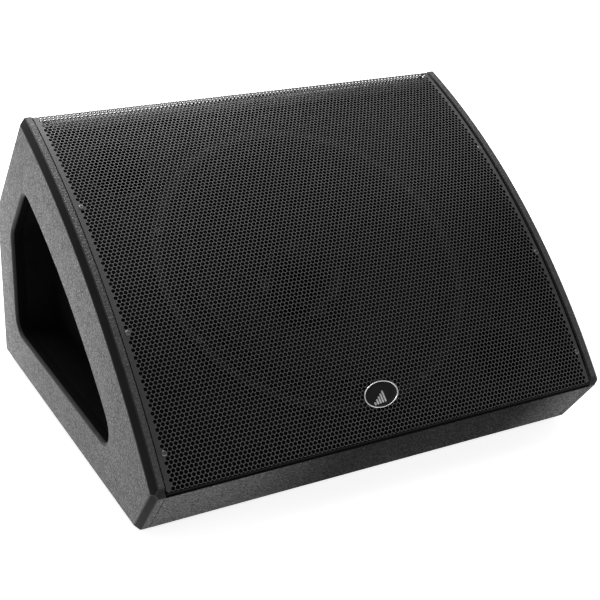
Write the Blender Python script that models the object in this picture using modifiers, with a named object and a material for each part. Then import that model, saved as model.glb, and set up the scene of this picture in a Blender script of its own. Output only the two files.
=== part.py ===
"""Stage monitor wedge: 15 inch coaxial driver in a plywood cabinet with a bowed steel grille.

Metres, +Z up, front towards -Y, origin on the floor under the middle of the
bounding box. The cabinet's cross-section is a five-cornered profile in the YZ
plane, swept along X between two side panels. Corner names of that profile:
A top ridge, B nose, C front foot, D rear foot, E rear shoulder. A to B is an
outward bow that the side panels and the grille share.
"""
import math

import bmesh
import bpy
from mathutils import Matrix, Vector

MM = 0.001

# ---------------------------------------------------------------- dimensions
WIDTH = 575 * MM            # over both side panels
PLY = 15 * MM               # cabinet panels
BAFFLE_T = 18 * MM          # baffle
GAP = 0.3 * MM              # clearance between touching pieces
FOOT_H = 6 * MM             # rubber feet under the bottom panel
Y_MID = 207.0 * MM          # profile Y of the middle of the footprint

PROFILE_A = (329 * MM, 360 * MM)
PROFILE_B = (-53 * MM, 73 * MM)
PROFILE_C = (0.0, 0.0)
PROFILE_D = (466 * MM, 0.0)
PROFILE_E = (458 * MM, 212 * MM)
BOW_RISE = 33.5 * MM        # height of the bowed front over the chord A-B
BOW_STEPS = 22

EDGE_CHAMFER = 7 * MM       # 45 degree chamfer round both side panels
NOSE_CHAMFER = 7 * MM       # facet across the nose of the side panels
FOOT_CHAMFER = 3 * MM       # facet along C
REAR_CHAMFER = 5 * MM       # facets along D and E
RIDGE_CHAMFER = 1.5 * MM    # facet across A on the side panels
BADGE_A, BADGE_B = 21.8 * MM, 14.5 * MM    # half width and half height of the oval badge

TOP_SLOT = 17 * MM          # the rear top panel stops this far below the ridge
NOSE_SLOT = 8 * MM          # the kick panel stops this far below the nose
BAFFLE_DEPTH = 21.5 * MM    # baffle face behind the chord A-B

GRILLE_X0 = -272.0 * MM      # the sheet sits close to the left panel
GRILLE_X1 = 268.4 * MM
GRILLE_T = 1.5 * MM
GRILLE_LIP_TOP = 15 * MM
GRILLE_LIP_NOSE = 6 * MM
BATTEN_W = 15 * MM

OPEN_BOW = 83 * MM          # side opening: offset from the bowed edge
OPEN_TOP = 58 * MM          # offset from the rear top edge
OPEN_REAR = 63 * MM         # offset from the rear edge
OPEN_FLOOR = 60.5 * MM      # height over the bottom face
OPEN_R = 22 * MM            # corner radius of the opening
TRAY_WALL = 5 * MM
TRAY_DEPTH = 46 * MM        # behind the side panel

WOOFER_V = 241 * MM         # driver centre, measured down the chord from A
FRAME_R = 193.5 * MM
CUTOUT_R = 177 * MM
PORT_X = 187 * MM           # port centres either side of the driver axis
PORT_DV = 166 * MM          # and up or down the slope from it
PORT_R = 35 * MM
PORT_WALL = 2.5 * MM
PORT_LEN = 60 * MM

HALF = WIDTH / 2
INNER = HALF - PLY          # inside face of a side panel

# ---------------------------------------------------------------- scene setup
for old in list(bpy.data.objects):
    bpy.data.objects.remove(old, do_unlink=True)

parts = bpy.data.collections.new("stage_monitor_wedge")
cutters = bpy.data.collections.new("cutters")
bpy.context.scene.collection.children.link(parts)
bpy.context.scene.collection.children.link(cutters)


def material(name, colour, rough, metal=0.0):
    m = bpy.data.materials.new(name)
    m.use_nodes = True
    b = m.node_tree.nodes["Principled BSDF"]
    b.inputs["Base Color"].default_value = (*colour, 1.0)
    b.inputs["Roughness"].default_value = rough
    b.inputs["Metallic"].default_value = metal
    m.diffuse_color = (*colour, 1.0)
    return m


def paint(name):
    return material(name, (0.030, 0.031, 0.033), 0.62)


def steel(name, v=0.42, rough=0.35):
    return material(name, (v, v, v * 1.02), rough, 1.0)


def plastic(name, v=0.02, rough=0.45):
    return material(name, (v, v, v), rough)


# ---------------------------------------------------------------- 2D helpers
def v2(p):
    return Vector((p[0], p[1]))


A, B, C, D, E = map(v2, (PROFILE_A, PROFILE_B, PROFILE_C, PROFILE_D, PROFILE_E))
CENTRE = (A + B + C + D + E) / 5

CHORD = (B - A).normalized()
OUT = Vector((-CHORD.y, CHORD.x))
if OUT.y < 0:
    OUT = -OUT
CHORD_LEN = (B - A).length
BOW_R = (CHORD_LEN ** 2 / 4 + BOW_RISE ** 2) / (2 * BOW_RISE)
BOW_O = (A + B) / 2 - OUT * (BOW_R - BOW_RISE)


def bow_point(t, inset=0.0):
    """Point at fraction t of the bow from A to B, moved inwards by inset."""
    a = math.atan2(A.y - BOW_O.y, A.x - BOW_O.x)
    b = math.atan2(B.y - BOW_O.y, B.x - BOW_O.x)
    ang = a + (b - a) * t
    r = BOW_R - inset
    return BOW_O + Vector((math.cos(ang), math.sin(ang))) * r


def inward(p, q):
    """Unit direction of p-q and its normal towards the cabinet's middle."""
    d = (q - p).normalized()
    n = Vector((-d.y, d.x))
    if n.dot(CENTRE - p) < 0:
        n = -n
    return d, n


def offset_line(p, q, dist):
    d, n = inward(p, q)
    return p + n * dist, d


def meet(l1, l2):
    (p, d), (q, e) = l1, l2
    den = d.x * e.y - d.y * e.x
    t = ((q.x - p.x) * e.y - (q.y - p.y) * e.x) / den
    return p + d * t


def meet_bow(line, inset, near):
    """Where a line meets the bow moved inwards by inset, nearest to a point."""
    p, d = line
    w = p - BOW_O
    b = w.dot(d)
    r = BOW_R - inset
    s = math.sqrt(b * b - (w.dot(w) - r * r))
    c1, c2 = p + d * (-b + s), p + d * (-b - s)
    return c1 if (c1 - near).length < (c2 - near).length else c2


def fillet(points, radii, step_deg=15.0):
    """Round the corners of a closed polygon."""
    out = []
    n = len(points)
    for i, p in enumerate(points):
        r = radii[i]
        if r <= 0:
            out.append(p)
            continue
        a = (points[i - 1] - p).normalized()
        b = (points[(i + 1) % n] - p).normalized()
        half = a.angle(b) / 2
        t = r / math.tan(half)
        c = p + (a + b).normalized() * (r / math.sin(half))
        s, e = p + a * t, p + b * t
        a0 = math.atan2(s.y - c.y, s.x - c.x)
        a1 = math.atan2(e.y - c.y, e.x - c.x)
        da = (a1 - a0 + math.pi) % (2 * math.pi) - math.pi
        k = max(2, int(abs(math.degrees(da)) / step_deg))
        for j in range(k + 1):
            ang = a0 + da * j / k
            out.append(c + Vector((math.cos(ang), math.sin(ang))) * r)
    return out


def place(p):
    """Profile point to world Y and Z."""
    return p.x - Y_MID, p.y + FOOT_H


# ---------------------------------------------------------------- solid helpers
def link(ob, coll=parts):
    coll.objects.link(ob)
    return ob


def finish(ob, mat=None, smooth=None):
    if mat:
        ob.data.materials.clear()
        ob.data.materials.append(mat)
    if smooth is not None:
        ob.data.shade_smooth()
        ob.data.set_sharp_from_angle(angle=math.radians(smooth))
    return ob


def as_cutter(ob):
    ob.hide_render = True
    ob.display_type = "WIRE"
    return ob


def sheet_solid(name, outline, x0, x1, coll=parts, holes=()):
    """A flat outline in the profile plane, extruded along X from x0 to x1."""
    cu = bpy.data.curves.new(name + "_outline", "CURVE")
    cu.dimensions = "2D"
    cu.fill_mode = "BOTH"
    cu.extrude = (x1 - x0) / 2
    cu.resolution_u = 1
    cu.render_resolution_u = 0
    for loop in (outline, *holes):
        sp = cu.splines.new("POLY")
        sp.points.add(len(loop) - 1)
        for k, p in enumerate(loop):
            y, z = place(p)
            sp.points[k].co = (y, z, 0.0, 1.0)
        sp.use_cyclic_u = True
    tmp = bpy.data.objects.new(name + "_outline", cu)
    link(tmp, cutters)
    bpy.context.view_layer.update()
    dg = bpy.context.evaluated_depsgraph_get()
    me = bpy.data.meshes.new_from_object(tmp.evaluated_get(dg))
    bpy.data.objects.remove(tmp, do_unlink=True)
    bpy.data.curves.remove(cu)
    me.name = name
    turn = Matrix(((0, 0, 1), (1, 0, 0), (0, 1, 0))).to_4x4()
    me.transform(turn)
    bm = bmesh.new()
    bm.from_mesh(me)
    bmesh.ops.remove_doubles(bm, verts=bm.verts, dist=1e-6)
    bmesh.ops.recalc_face_normals(bm, faces=bm.faces)
    bm.to_mesh(me)
    bm.free()
    ob = bpy.data.objects.new(name, me)
    ob.location = ((x0 + x1) / 2, 0, 0)
    return link(ob, coll)


def slice_off(ob, co, no):
    """Cut a convex solid with a plane and keep the side behind its normal."""
    bm = bmesh.new()
    bm.from_mesh(ob.data)
    inv = ob.matrix_basis.inverted()
    p = inv @ Vector(co)
    geom = bm.verts[:] + bm.edges[:] + bm.faces[:]
    res = bmesh.ops.bisect_plane(bm, geom=geom, dist=1e-7, plane_co=p,
                                 plane_no=Vector(no), clear_outer=True)
    edges = [g for g in res["geom_cut"] if isinstance(g, bmesh.types.BMEdge)]
    if edges:
        bmesh.ops.contextual_create(bm, geom=edges)
    bmesh.ops.dissolve_limit(bm, angle_limit=math.radians(0.05), verts=bm.verts,
                             edges=bm.edges)
    bmesh.ops.recalc_face_normals(bm, faces=bm.faces)
    bm.to_mesh(ob.data)
    bm.free()


def corner_facet(ob, corner, prev_p, next_p, legs, x=0.0):
    """Facet along X across one profile corner, taking legs off both sides."""
    a = (prev_p - corner).normalized()
    b = (next_p - corner).normalized()
    m = (corner + a * legs + corner + b * legs) / 2
    n = -(a + b).normalized()
    y, z = place(m)
    slice_off(ob, (x, y, z), (0, n.x, n.y))


def closed_turn(name, profile, steps=40, coll=parts):
    """A turned piece: profile points (radius, height), swept about local Z."""
    area = 0.0
    n = len(profile)
    open_ends = profile[0][0] == 0 and profile[-1][0] == 0
    for i in range(n):
        x1, z1 = profile[i]
        x2, z2 = profile[(i + 1) % n]
        area += x1 * z2 - x2 * z1
    pts = list(profile) if area < 0 else list(reversed(profile))
    me = bpy.data.meshes.new(name)
    edges = [(i, i + 1) for i in range(n - 1)]
    if not open_ends:
        edges.append((n - 1, 0))
    me.from_pydata([(r, 0, z) for r, z in pts], edges, [])
    ob = bpy.data.objects.new(name, me)
    sc = ob.modifiers.new("turn", "SCREW")
    sc.axis = "Z"
    sc.angle = 2 * math.pi
    sc.steps = steps
    sc.render_steps = steps
    sc.use_merge_vertices = True
    sc.merge_threshold = 1e-6
    sc.use_smooth_shade = True
    return link(ob, coll)


def rod(name, radius, z0, z1, sides=24, coll=parts):
    """A plain cylinder about local Z."""
    me = bpy.data.meshes.new(name)
    bm = bmesh.new()
    bmesh.ops.create_cone(bm, cap_ends=True, segments=sides, radius1=radius,
                          radius2=radius, depth=z1 - z0)
    bmesh.ops.translate(bm, verts=bm.verts, vec=(0, 0, (z0 + z1) / 2))
    bm.to_mesh(me)
    bm.free()
    return link(bpy.data.objects.new(name, me), coll)


def block(name, size, centre, coll=parts, bevel=0.0, segments=1):
    """A box, with its centre at a point and optional rounded edges."""
    me = bpy.data.meshes.new(name)
    bm = bmesh.new()
    bmesh.ops.create_cube(bm, size=1.0)
    bmesh.ops.scale(bm, verts=bm.verts, vec=size)
    bm.to_mesh(me)
    bm.free()
    ob = bpy.data.objects.new(name, me)
    ob.location = centre
    if bevel:
        bv = ob.modifiers.new("edges", "BEVEL")
        bv.width = bevel
        bv.segments = segments
        bv.limit_method = "ANGLE"
    return link(ob, coll)


def cut(ob, tool, how="DIFFERENCE"):
    m = ob.modifiers.new("cut_" + tool.name, "BOOLEAN")
    m.operation = how
    m.solver = "EXACT"
    m.object = tool
    return m


# ---------------------------------------------------------------- side panels
bow = [bow_point(i / BOW_STEPS) for i in range(BOW_STEPS + 1)]
outline = bow + [C, D, E]

edge_lines = [(bow[i], bow[i + 1]) for i in range(BOW_STEPS)]
edge_lines += [(B, C), (C, D), (D, E), (E, A)]

top_line = offset_line(E, A, OPEN_TOP)
rear_line = offset_line(D, E, OPEN_REAR)
floor_line = (Vector((0.0, OPEN_FLOOR)), Vector((1.0, 0.0)))


def opening_outline(grow=0.0):
    """Outline of the hand opening, grown outwards by grow."""
    bow_in = OPEN_BOW - grow
    tl = offset_line(E, A, OPEN_TOP - grow)
    rl = offset_line(D, E, OPEN_REAR - grow)
    fl = (Vector((0.0, OPEN_FLOOR - grow)), Vector((1.0, 0.0)))
    top = meet_bow(tl, bow_in, A)
    front = meet_bow(fl, bow_in, B)
    rear_top = meet(tl, rl)
    rear_low = meet(rl, fl)
    a0 = math.atan2(top.y - BOW_O.y, top.x - BOW_O.x)
    a1 = math.atan2(front.y - BOW_O.y, front.x - BOW_O.x)
    r = BOW_R - bow_in
    mids = []
    for k in range(1, 8):
        ang = a0 + (a1 - a0) * (0.13 + 0.67 * (k - 1) / 6)
        mids.append(BOW_O + Vector((math.cos(ang), math.sin(ang))) * r)
    pts = [top] + mids + [front, rear_low, rear_top]
    rr = OPEN_R + grow
    radii = [rr] + [0] * len(mids) + [rr, rr, rr]
    return fillet(pts, radii)


side_panels = []
for sx, label in ((-1, "left"), (1, "right")):
    x0, x1 = (-HALF, -INNER) if sx < 0 else (INNER, HALF)
    panel = sheet_solid("side_panel_" + label, outline, x0, x1)
    for p, q in edge_lines:
        d, n = inward(p, q)
        mid = (p + q) / 2
        y, z = place(mid)
        slice_off(panel, (sx * (HALF - EDGE_CHAMFER), y, z),
                  Vector((sx, -n.x, -n.y)).normalized())
    corner_facet(panel, B, bow[-2], C, NOSE_CHAMFER)
    corner_facet(panel, C, B, D, FOOT_CHAMFER)
    corner_facet(panel, D, C, E, REAR_CHAMFER)
    corner_facet(panel, E, D, A, REAR_CHAMFER)
    corner_facet(panel, A, E, bow[1], RIDGE_CHAMFER)
    tool = as_cutter(sheet_solid("opening_cutter_" + label, opening_outline(),
                                 x0 - 0.01, x1 + 0.01, cutters))
    cut(panel, tool)
    finish(panel, paint("side_panel_paint_" + label), 30)
    side_panels.append(panel)

# ---------------------------------------------------------------- cross panels
X_IN = INNER - GAP


def cross_panel(name, pts, mat):
    ob = sheet_solid(name, pts, -X_IN, X_IN)
    return finish(ob, mat)


def ring_panel(p, q, start, end):
    """Outline of a panel along p-q between two end lines, outer face first."""
    outer = offset_line(p, q, 0.0)
    inner = offset_line(p, q, PLY)
    return [meet(outer, start), meet(outer, end), meet(inner, end), meet(inner, start)]


def mitre(corner, prev_p, next_p):
    """Bisecting line through a corner, as (point, direction)."""
    a = (prev_p - corner).normalized()
    b = (next_p - corner).normalized()
    return corner, (a + b).normalized()


def shifted(line, along, dist):
    p, d = line
    n = Vector((-d.y, d.x))
    if n.dot(along) < 0:
        n = -n
    return p + n * dist, d


g = GAP / 2
bc, _ = inward(B, C)
cd, _ = inward(C, D)
de, _ = inward(D, E)
ea, _ = inward(E, A)
m_c, m_d, m_e = mitre(C, B, D), mitre(D, C, E), mitre(E, D, A)

kick_start = (B + bc * NOSE_SLOT, inward(B, C)[1])
top_end = (A - ea * TOP_SLOT, inward(E, A)[1])

kick = cross_panel("kick_panel", ring_panel(B, C, kick_start, shifted(m_c, -bc, g)),
                   paint("kick_panel_paint"))
bottom = cross_panel("bottom_panel", ring_panel(C, D, shifted(m_c, cd, g), shifted(m_d, -cd, g)),
                     paint("bottom_panel_paint"))
rear = cross_panel("rear_panel", ring_panel(D, E, shifted(m_d, de, g), shifted(m_e, -de, g)),
                   paint("rear_panel_paint"))
rear_top = cross_panel("rear_top_panel", ring_panel(E, A, shifted(m_e, ea, g), top_end),
                       paint("rear_top_panel_paint"))
corner_facet(kick, C, B, D, FOOT_CHAMFER)
corner_facet(bottom, C, B, D, FOOT_CHAMFER)
corner_facet(bottom, D, C, E, REAR_CHAMFER)
corner_facet(rear, D, C, E, REAR_CHAMFER)
corner_facet(rear, E, D, A, REAR_CHAMFER)
corner_facet(rear_top, E, D, A, REAR_CHAMFER)

# ---------------------------------------------------------------- baffle
face_line = (A - OUT * BAFFLE_DEPTH, CHORD)
back_line = (A - OUT * (BAFFLE_DEPTH + BAFFLE_T), CHORD)
top_in = offset_line(E, A, PLY + GAP)
kick_in = offset_line(B, C, PLY + GAP)
baffle_pts = [meet(face_line, top_in), meet(face_line, kick_in),
              meet(back_line, kick_in), meet(back_line, top_in)]
baffle = cross_panel("baffle", baffle_pts, paint("baffle_paint"))

# Frame on the baffle face: local Z points out through the grille.
w0 = A + CHORD * WOOFER_V - OUT * BAFFLE_DEPTH
TILT = math.atan2(-OUT.x, OUT.y)
axis = bpy.data.objects.new("driver_axis", None)
axis.location = (0, *place(w0))
axis.rotation_euler = (TILT, 0, 0)
link(axis)


def on_baffle(ob, x=0.0, up=0.0, z=0.0):
    """Carry a piece in the baffle's frame: x across, up the slope, z outwards."""
    ob.parent = axis
    ob.location = (x, up, z)
    return ob


ports = ((-PORT_X, PORT_DV, "upper"), (PORT_X, -PORT_DV, "lower"))
SCREW_N = 8
SCREW_PCD = 185.5 * MM

hole = as_cutter(on_baffle(rod("driver_cutout", CUTOUT_R, -0.05, 0.05, 48, cutters)))
cut(baffle, hole)
for px, pu, label in ports:
    tool = as_cutter(on_baffle(rod("port_cutout_" + label, PORT_R + PORT_WALL + GAP,
                                   -0.05, 0.05, 32, cutters), px, pu))
    cut(baffle, tool)

screw_places = []
for k in range(SCREW_N):
    ang = math.radians(22.5 + 45 * k)
    screw_places.append((SCREW_PCD * math.cos(ang), SCREW_PCD * math.sin(ang)))
for k, (sx, su) in enumerate(screw_places):
    tool = as_cutter(on_baffle(rod(f"frame_screw_bore_{k + 1}", 2.3 * MM, -0.014, 0.02, 8, cutters),
                               sx, su))
    cut(baffle, tool)

# ---------------------------------------------------------------- port tubes
for px, pu, label in ports:
    r0, r1 = PORT_R, PORT_R + PORT_WALL
    z0 = -PORT_LEN
    prof = [(r1 + 6 * MM, 2.3 * MM), (r1 + 6 * MM, GAP), (r1, GAP), (r1, z0),
            (r0, z0), (r0, -6 * MM), (r0 + 1.2 * MM, -1 * MM), (r0 + 3.5 * MM, 2.3 * MM)]
    tube = on_baffle(closed_turn("port_tube_" + label, prof, 28), px, pu)
    finish(tube, plastic("port_plastic_" + label, 0.012, 0.5))

# ---------------------------------------------------------------- driver frame
FL_T = 4 * MM
f0 = GAP
basket_prof = [
    (FRAME_R, f0 + FL_T), (FRAME_R, f0), (CUTOUT_R - 1.2 * MM, f0),
    (CUTOUT_R - 2.5 * MM, -16 * MM), (134 * MM, -56 * MM), (96 * MM, -72 * MM),
    (96 * MM, -78 * MM), (60 * MM, -78 * MM), (60 * MM, -75 * MM), (91 * MM, -75 * MM),
    (101 * MM, -62 * MM), (132 * MM, -52.5 * MM), (CUTOUT_R - 6 * MM, -14 * MM),
    (CUTOUT_R - 4.5 * MM, f0 + FL_T),
]
basket = on_baffle(closed_turn("driver_basket", basket_prof, 42))
for k in range(6):
    ang = math.radians(30 + 60 * k)
    win = block(f"basket_window_{k + 1}", (52 * MM, 92 * MM, 26 * MM), (0, 0, 0), cutters)
    win.parent = axis
    win.rotation_euler = (0, math.radians(-46), ang)
    win.location = (152 * MM * math.cos(ang), 152 * MM * math.sin(ang), -36 * MM)
    as_cutter(win)
    cut(basket, win)
for k, (sx, su) in enumerate(screw_places):
    tool = as_cutter(on_baffle(rod(f"frame_screw_hole_{k + 1}", 2.9 * MM, -0.004, 0.01, 8, cutters),
                               sx, su))
    cut(basket, tool)
finish(basket, material("basket_paint", (0.022, 0.022, 0.024), 0.5, 0.2))

for k, (sx, su) in enumerate(screw_places):
    zt = f0 + FL_T + GAP
    prof = [(0, zt + 2.6 * MM), (2.6 * MM, zt + 2.6 * MM), (4.6 * MM, zt + 1.4 * MM),
            (4.6 * MM, zt), (2.0 * MM, zt), (2.0 * MM, -13 * MM), (0, -13 * MM)]
    s = on_baffle(closed_turn(f"frame_screw_{k + 1}", prof, 10), sx, su)
    finish(s, steel(f"frame_screw_steel_{k + 1}", 0.06, 0.4))

# Suspension: outer foot on the frame, half roll, inner foot on the cone edge.
sur_z = f0 + FL_T + GAP
SUR_T = 1.0 * MM
outer_foot, inner_foot = 172.5 * MM, 147 * MM
roll_o, roll_i = 168 * MM, 152 * MM
roll_r = (roll_o - roll_i) / 2
top_side, under_side = [], []
for k in range(7):
    ang = math.pi * k / 6
    cx, cz = (roll_o + roll_i) / 2, sur_z + 0.2 * MM
    top_side.append((cx + (roll_r + SUR_T / 2) * math.cos(ang), cz + (roll_r + SUR_T / 2) * math.sin(ang) * 0.95 + SUR_T / 2))
    under_side.append((cx + (roll_r - SUR_T / 2) * math.cos(ang), cz + (roll_r - SUR_T / 2) * math.sin(ang) * 0.95 + SUR_T / 2 - 0.1 * MM))
sur_prof = ([(179.5 * MM, sur_z + SUR_T)] + top_side + [(inner_foot, sur_z + SUR_T), (inner_foot, sur_z)]
            + list(reversed(under_side)) + [(179.5 * MM, sur_z)])
surround = on_baffle(closed_turn("driver_surround", sur_prof, 36))
finish(surround, material("surround_rubber", (0.012, 0.012, 0.013), 0.75))

gk = sur_z + SUR_T + GAP
gasket_prof = [(180 * MM, gk + 3 * MM), (180 * MM, gk), (171.5 * MM, gk), (171.5 * MM, gk + 3 * MM)]
gasket = on_baffle(closed_turn("driver_gasket", gasket_prof, 36))
finish(gasket, material("gasket_card", (0.02, 0.02, 0.02), 0.9))

# Cone and voice coil, the pieces that move along the driver's axis.
CONE_T = 1.4 * MM
cz = sur_z - GAP
cone_prof = [(154 * MM, cz), (154 * MM, cz - CONE_T), (147 * MM, cz - CONE_T),
             (100 * MM, -27 * MM), (51.6 * MM, -46 * MM), (51.6 * MM, -44.2 * MM),
             (99 * MM, -25.4 * MM), (146 * MM, cz)]
cone = on_baffle(closed_turn("driver_cone", cone_prof, 40))
finish(cone, material("cone_paper", (0.018, 0.018, 0.019), 0.85))

coil_prof = [(51.2 * MM, -42.5 * MM), (51.2 * MM, -79 * MM), (51.9 * MM, -79 * MM), (51.9 * MM, -95 * MM),
             (50.4 * MM, -95 * MM), (50.4 * MM, -42.5 * MM)]
coil = on_baffle(closed_turn("voice_coil", coil_prof, 30))
finish(coil, material("coil_copper", (0.45, 0.22, 0.08), 0.4, 0.8))

sp_top, sp_low = [], []
SP_T = 0.8 * MM
for k in range(10):
    r = 52.2 * MM + (90 * MM - 52.2 * MM) * k / 9
    z = -60 * MM + (0 if k in (0, 9) else 1.8 * MM * (-1) ** k)
    sp_top.append((r, z + SP_T / 2))
    sp_low.append((r, z - SP_T / 2))
spider = on_baffle(closed_turn("driver_spider", sp_top + list(reversed(sp_low)), 30))
finish(spider, material("spider_cloth", (0.30, 0.22, 0.10), 0.9))

# Motor
tp = [(92 * MM, -78.3 * MM), (92 * MM, -88.3 * MM), (53.6 * MM, -88.3 * MM), (53.6 * MM, -78.3 * MM)]
finish(on_baffle(closed_turn("top_plate", tp, 30)), steel("top_plate_steel", 0.35))
mg = [(106 * MM, -88.6 * MM), (106 * MM, -110.6 * MM), (62 * MM, -110.6 * MM), (62 * MM, -88.6 * MM)]
finish(on_baffle(closed_turn("magnet_ring", mg, 30)), material("ferrite", (0.05, 0.05, 0.055), 0.5, 0.3))
bp = [(48.8 * MM, -78 * MM), (48.8 * MM, -110.9 * MM), (92 * MM, -110.9 * MM), (92 * MM, -121 * MM),
      (16 * MM, -121 * MM), (19 * MM, -78 * MM)]
finish(on_baffle(closed_turn("pole_plate", bp, 30)), steel("pole_plate_steel", 0.35))

# High frequency horn in the middle of the cone, and its driver on the back.
hn = [(46 * MM, -22 * MM), (46 * MM, -25 * MM), (28 * MM, -62 * MM), (28 * MM, -77.7 * MM),
      (19.5 * MM, -77.7 * MM), (25 * MM, -60 * MM), (43.5 * MM, -22 * MM)]
finish(on_baffle(closed_turn("hf_horn", hn, 30)), plastic("horn_plastic", 0.014, 0.4))
hz = -121 * MM - GAP
hb = [(50 * MM, hz), (50 * MM, hz - 42 * MM), (12 * MM, hz - 42 * MM), (12 * MM, hz - 38 * MM),
      (44 * MM, hz - 34 * MM), (44 * MM, hz - 10 * MM), (15 * MM, hz - 8 * MM), (15.5 * MM, hz)]
finish(on_baffle(closed_turn("hf_driver_body", hb, 28)), material("hf_body_paint", (0.03, 0.03, 0.032), 0.4, 0.4))
dia_top, dia_low = [], []
for k in range(5):
    t = k / 4
    r = 41 * MM * t
    z = hz - 24 * MM + 9 * MM * math.cos(t * math.pi / 2)
    dia_top.append((r, z + 0.4 * MM))
    dia_low.append((r, z - 0.4 * MM))
dia = on_baffle(closed_turn("hf_diaphragm", dia_top + list(reversed(dia_low)), 24))
finish(dia, material("diaphragm_titanium", (0.5, 0.5, 0.52), 0.3, 1.0))

# ---------------------------------------------------------------- grille
# Bowed sheet with a lip turned in at the ridge and another at the nose.
gr_out, gr_in = [], []
g_steps = 24
for k in range(g_steps + 1):
    t = 0.004 + 0.992 * k / g_steps
    gr_out.append(bow_point(t))
    gr_in.append(bow_point(t, GRILLE_T))
ea_down = -ea
lip_top_out = [gr_out[0] + ea_down * GRILLE_LIP_TOP]
lip_top_in = gr_in[0] - OUT * 0.0 + ea_down * (GRILLE_LIP_TOP - GRILLE_T) + inward(E, A)[1] * GRILLE_T
lip_nose_out = gr_out[-1] + bc * GRILLE_LIP_NOSE
lip_nose_in = gr_in[-1] + bc * (GRILLE_LIP_NOSE - GRILLE_T) + inward(B, C)[1] * GRILLE_T
grille_pts = ([lip_top_out[0]] + gr_out + [lip_nose_out]
              + [lip_nose_out + inward(B, C)[1] * GRILLE_T]
              + [gr_in[-1] + inward(B, C)[1] * GRILLE_T]
              + list(reversed(gr_in[1:-1]))
              + [gr_in[0] + inward(E, A)[1] * GRILLE_T]
              + [lip_top_out[0] + inward(E, A)[1] * GRILLE_T])
grille = sheet_solid("grille", grille_pts, GRILLE_X0, GRILLE_X1)
finish(grille, material("grille_powder_coat", (0.02, 0.02, 0.021), 0.5, 0.3), 25)

# Bowed battens that carry the grille along both side panels.
GS_T = (0.315, 0.645, 0.915)       # fixing screws, as fractions of the bow
GS_X = 264.6 * MM
for sx, label in ((-1, "left"), (1, "right")):
    top_pts = [bow_point(0.045 + 0.905 * k / 16, GRILLE_T + GAP) for k in range(17)]
    low0 = top_pts[-1] - OUT * ((top_pts[-1] - (A - OUT * (BAFFLE_DEPTH - GAP))).dot(OUT))
    low1 = top_pts[0] - OUT * ((top_pts[0] - (A - OUT * (BAFFLE_DEPTH - GAP))).dot(OUT))
    xa, xb = sorted((sx * (INNER - GAP), sx * (INNER - GAP - BATTEN_W)))
    batten = sheet_solid("grille_batten_" + label, top_pts + [low0, low1], xa, xb)
    finish(batten, paint("batten_paint_" + label))
    for k, t in enumerate(GS_T):
        p = bow_point(t)
        n = (p - BOW_O).normalized()
        y, z = place(p)
        tilt = math.atan2(-n.x, n.y)
        bore = rod(f"grille_screw_bore_{label}_{k + 1}", 1.9 * MM, -16 * MM, 6 * MM, 8, cutters)
        bore.location = (sx * GS_X, y, z)
        bore.rotation_euler = (tilt, 0, 0)
        cut(batten, as_cutter(bore))
        cut(grille, bore)
        prof = [(0, 1.5 * MM), (1.6 * MM, 1.4 * MM), (2.9 * MM, 0.9 * MM), (3.1 * MM, GAP),
                (1.55 * MM, GAP), (1.55 * MM, -14 * MM), (0, -14 * MM)]
        s = closed_turn(f"grille_screw_{label}_{k + 1}", prof, 10)
        s.location = (sx * GS_X, y, z)
        s.rotation_euler = (tilt, 0, 0)
        finish(s, steel(f"grille_screw_steel_{label}_{k + 1}", 0.5, 0.3))

# Oval badge on the lower middle of the grille, wider than it is tall and turned slightly.
bt = 0.903
bp_ = bow_point(bt)
bn = (bp_ - BOW_O).normalized()
badge_axis = bpy.data.objects.new("badge_axis", None)
badge_axis.location = (-7.9 * MM, *place(bp_))
badge_axis.rotation_mode = "ZYX"
badge_axis.rotation_euler = (math.atan2(-bn.x, bn.y), 0, math.radians(6))
badge_axis.scale = (BADGE_A / (20.6 * MM), BADGE_B / (20.6 * MM), 1)
link(badge_axis)
body = closed_turn("badge_disc", [(0, 3.2 * MM), (18.55 * MM, 3.2 * MM), (18.55 * MM, GAP + 0.05 * MM), (0, GAP + 0.05 * MM)], 36)
body.parent = badge_axis
finish(body, plastic("badge_black", 0.01, 0.2))
ring = closed_turn("badge_ring", [(20.2 * MM, 3.4 * MM), (20.6 * MM, 2.9 * MM), (20.6 * MM, GAP + 0.05 * MM),
                                  (19.0 * MM, GAP + 0.05 * MM), (19.0 * MM, 2.9 * MM), (19.4 * MM, 3.4 * MM)], 40)
ring.parent = badge_axis
finish(ring, steel("badge_chrome", 0.8, 0.15))

# ---------------------------------------------------------------- hand trays
for sx, label in ((-1, "left"), (1, "right")):
    xa = INNER - GAP
    xb = INNER - TRAY_DEPTH
    lo, hi = (-xa, -xb) if sx < 0 else (xb, xa)
    tray = sheet_solid("hand_tray_" + label, opening_outline(TRAY_WALL), lo, hi)
    if sx < 0:
        tool = sheet_solid("tray_hollow_" + label, opening_outline(0.5 * MM), lo - 0.01, hi - TRAY_WALL, cutters)
    else:
        tool = sheet_solid("tray_hollow_" + label, opening_outline(0.5 * MM), lo + TRAY_WALL, hi + 0.01, cutters)
    cut(tray, as_cutter(tool))
    finish(tray, paint("tray_paint_" + label), 30)
    if sx > 0:
        tray_right = tray

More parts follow.
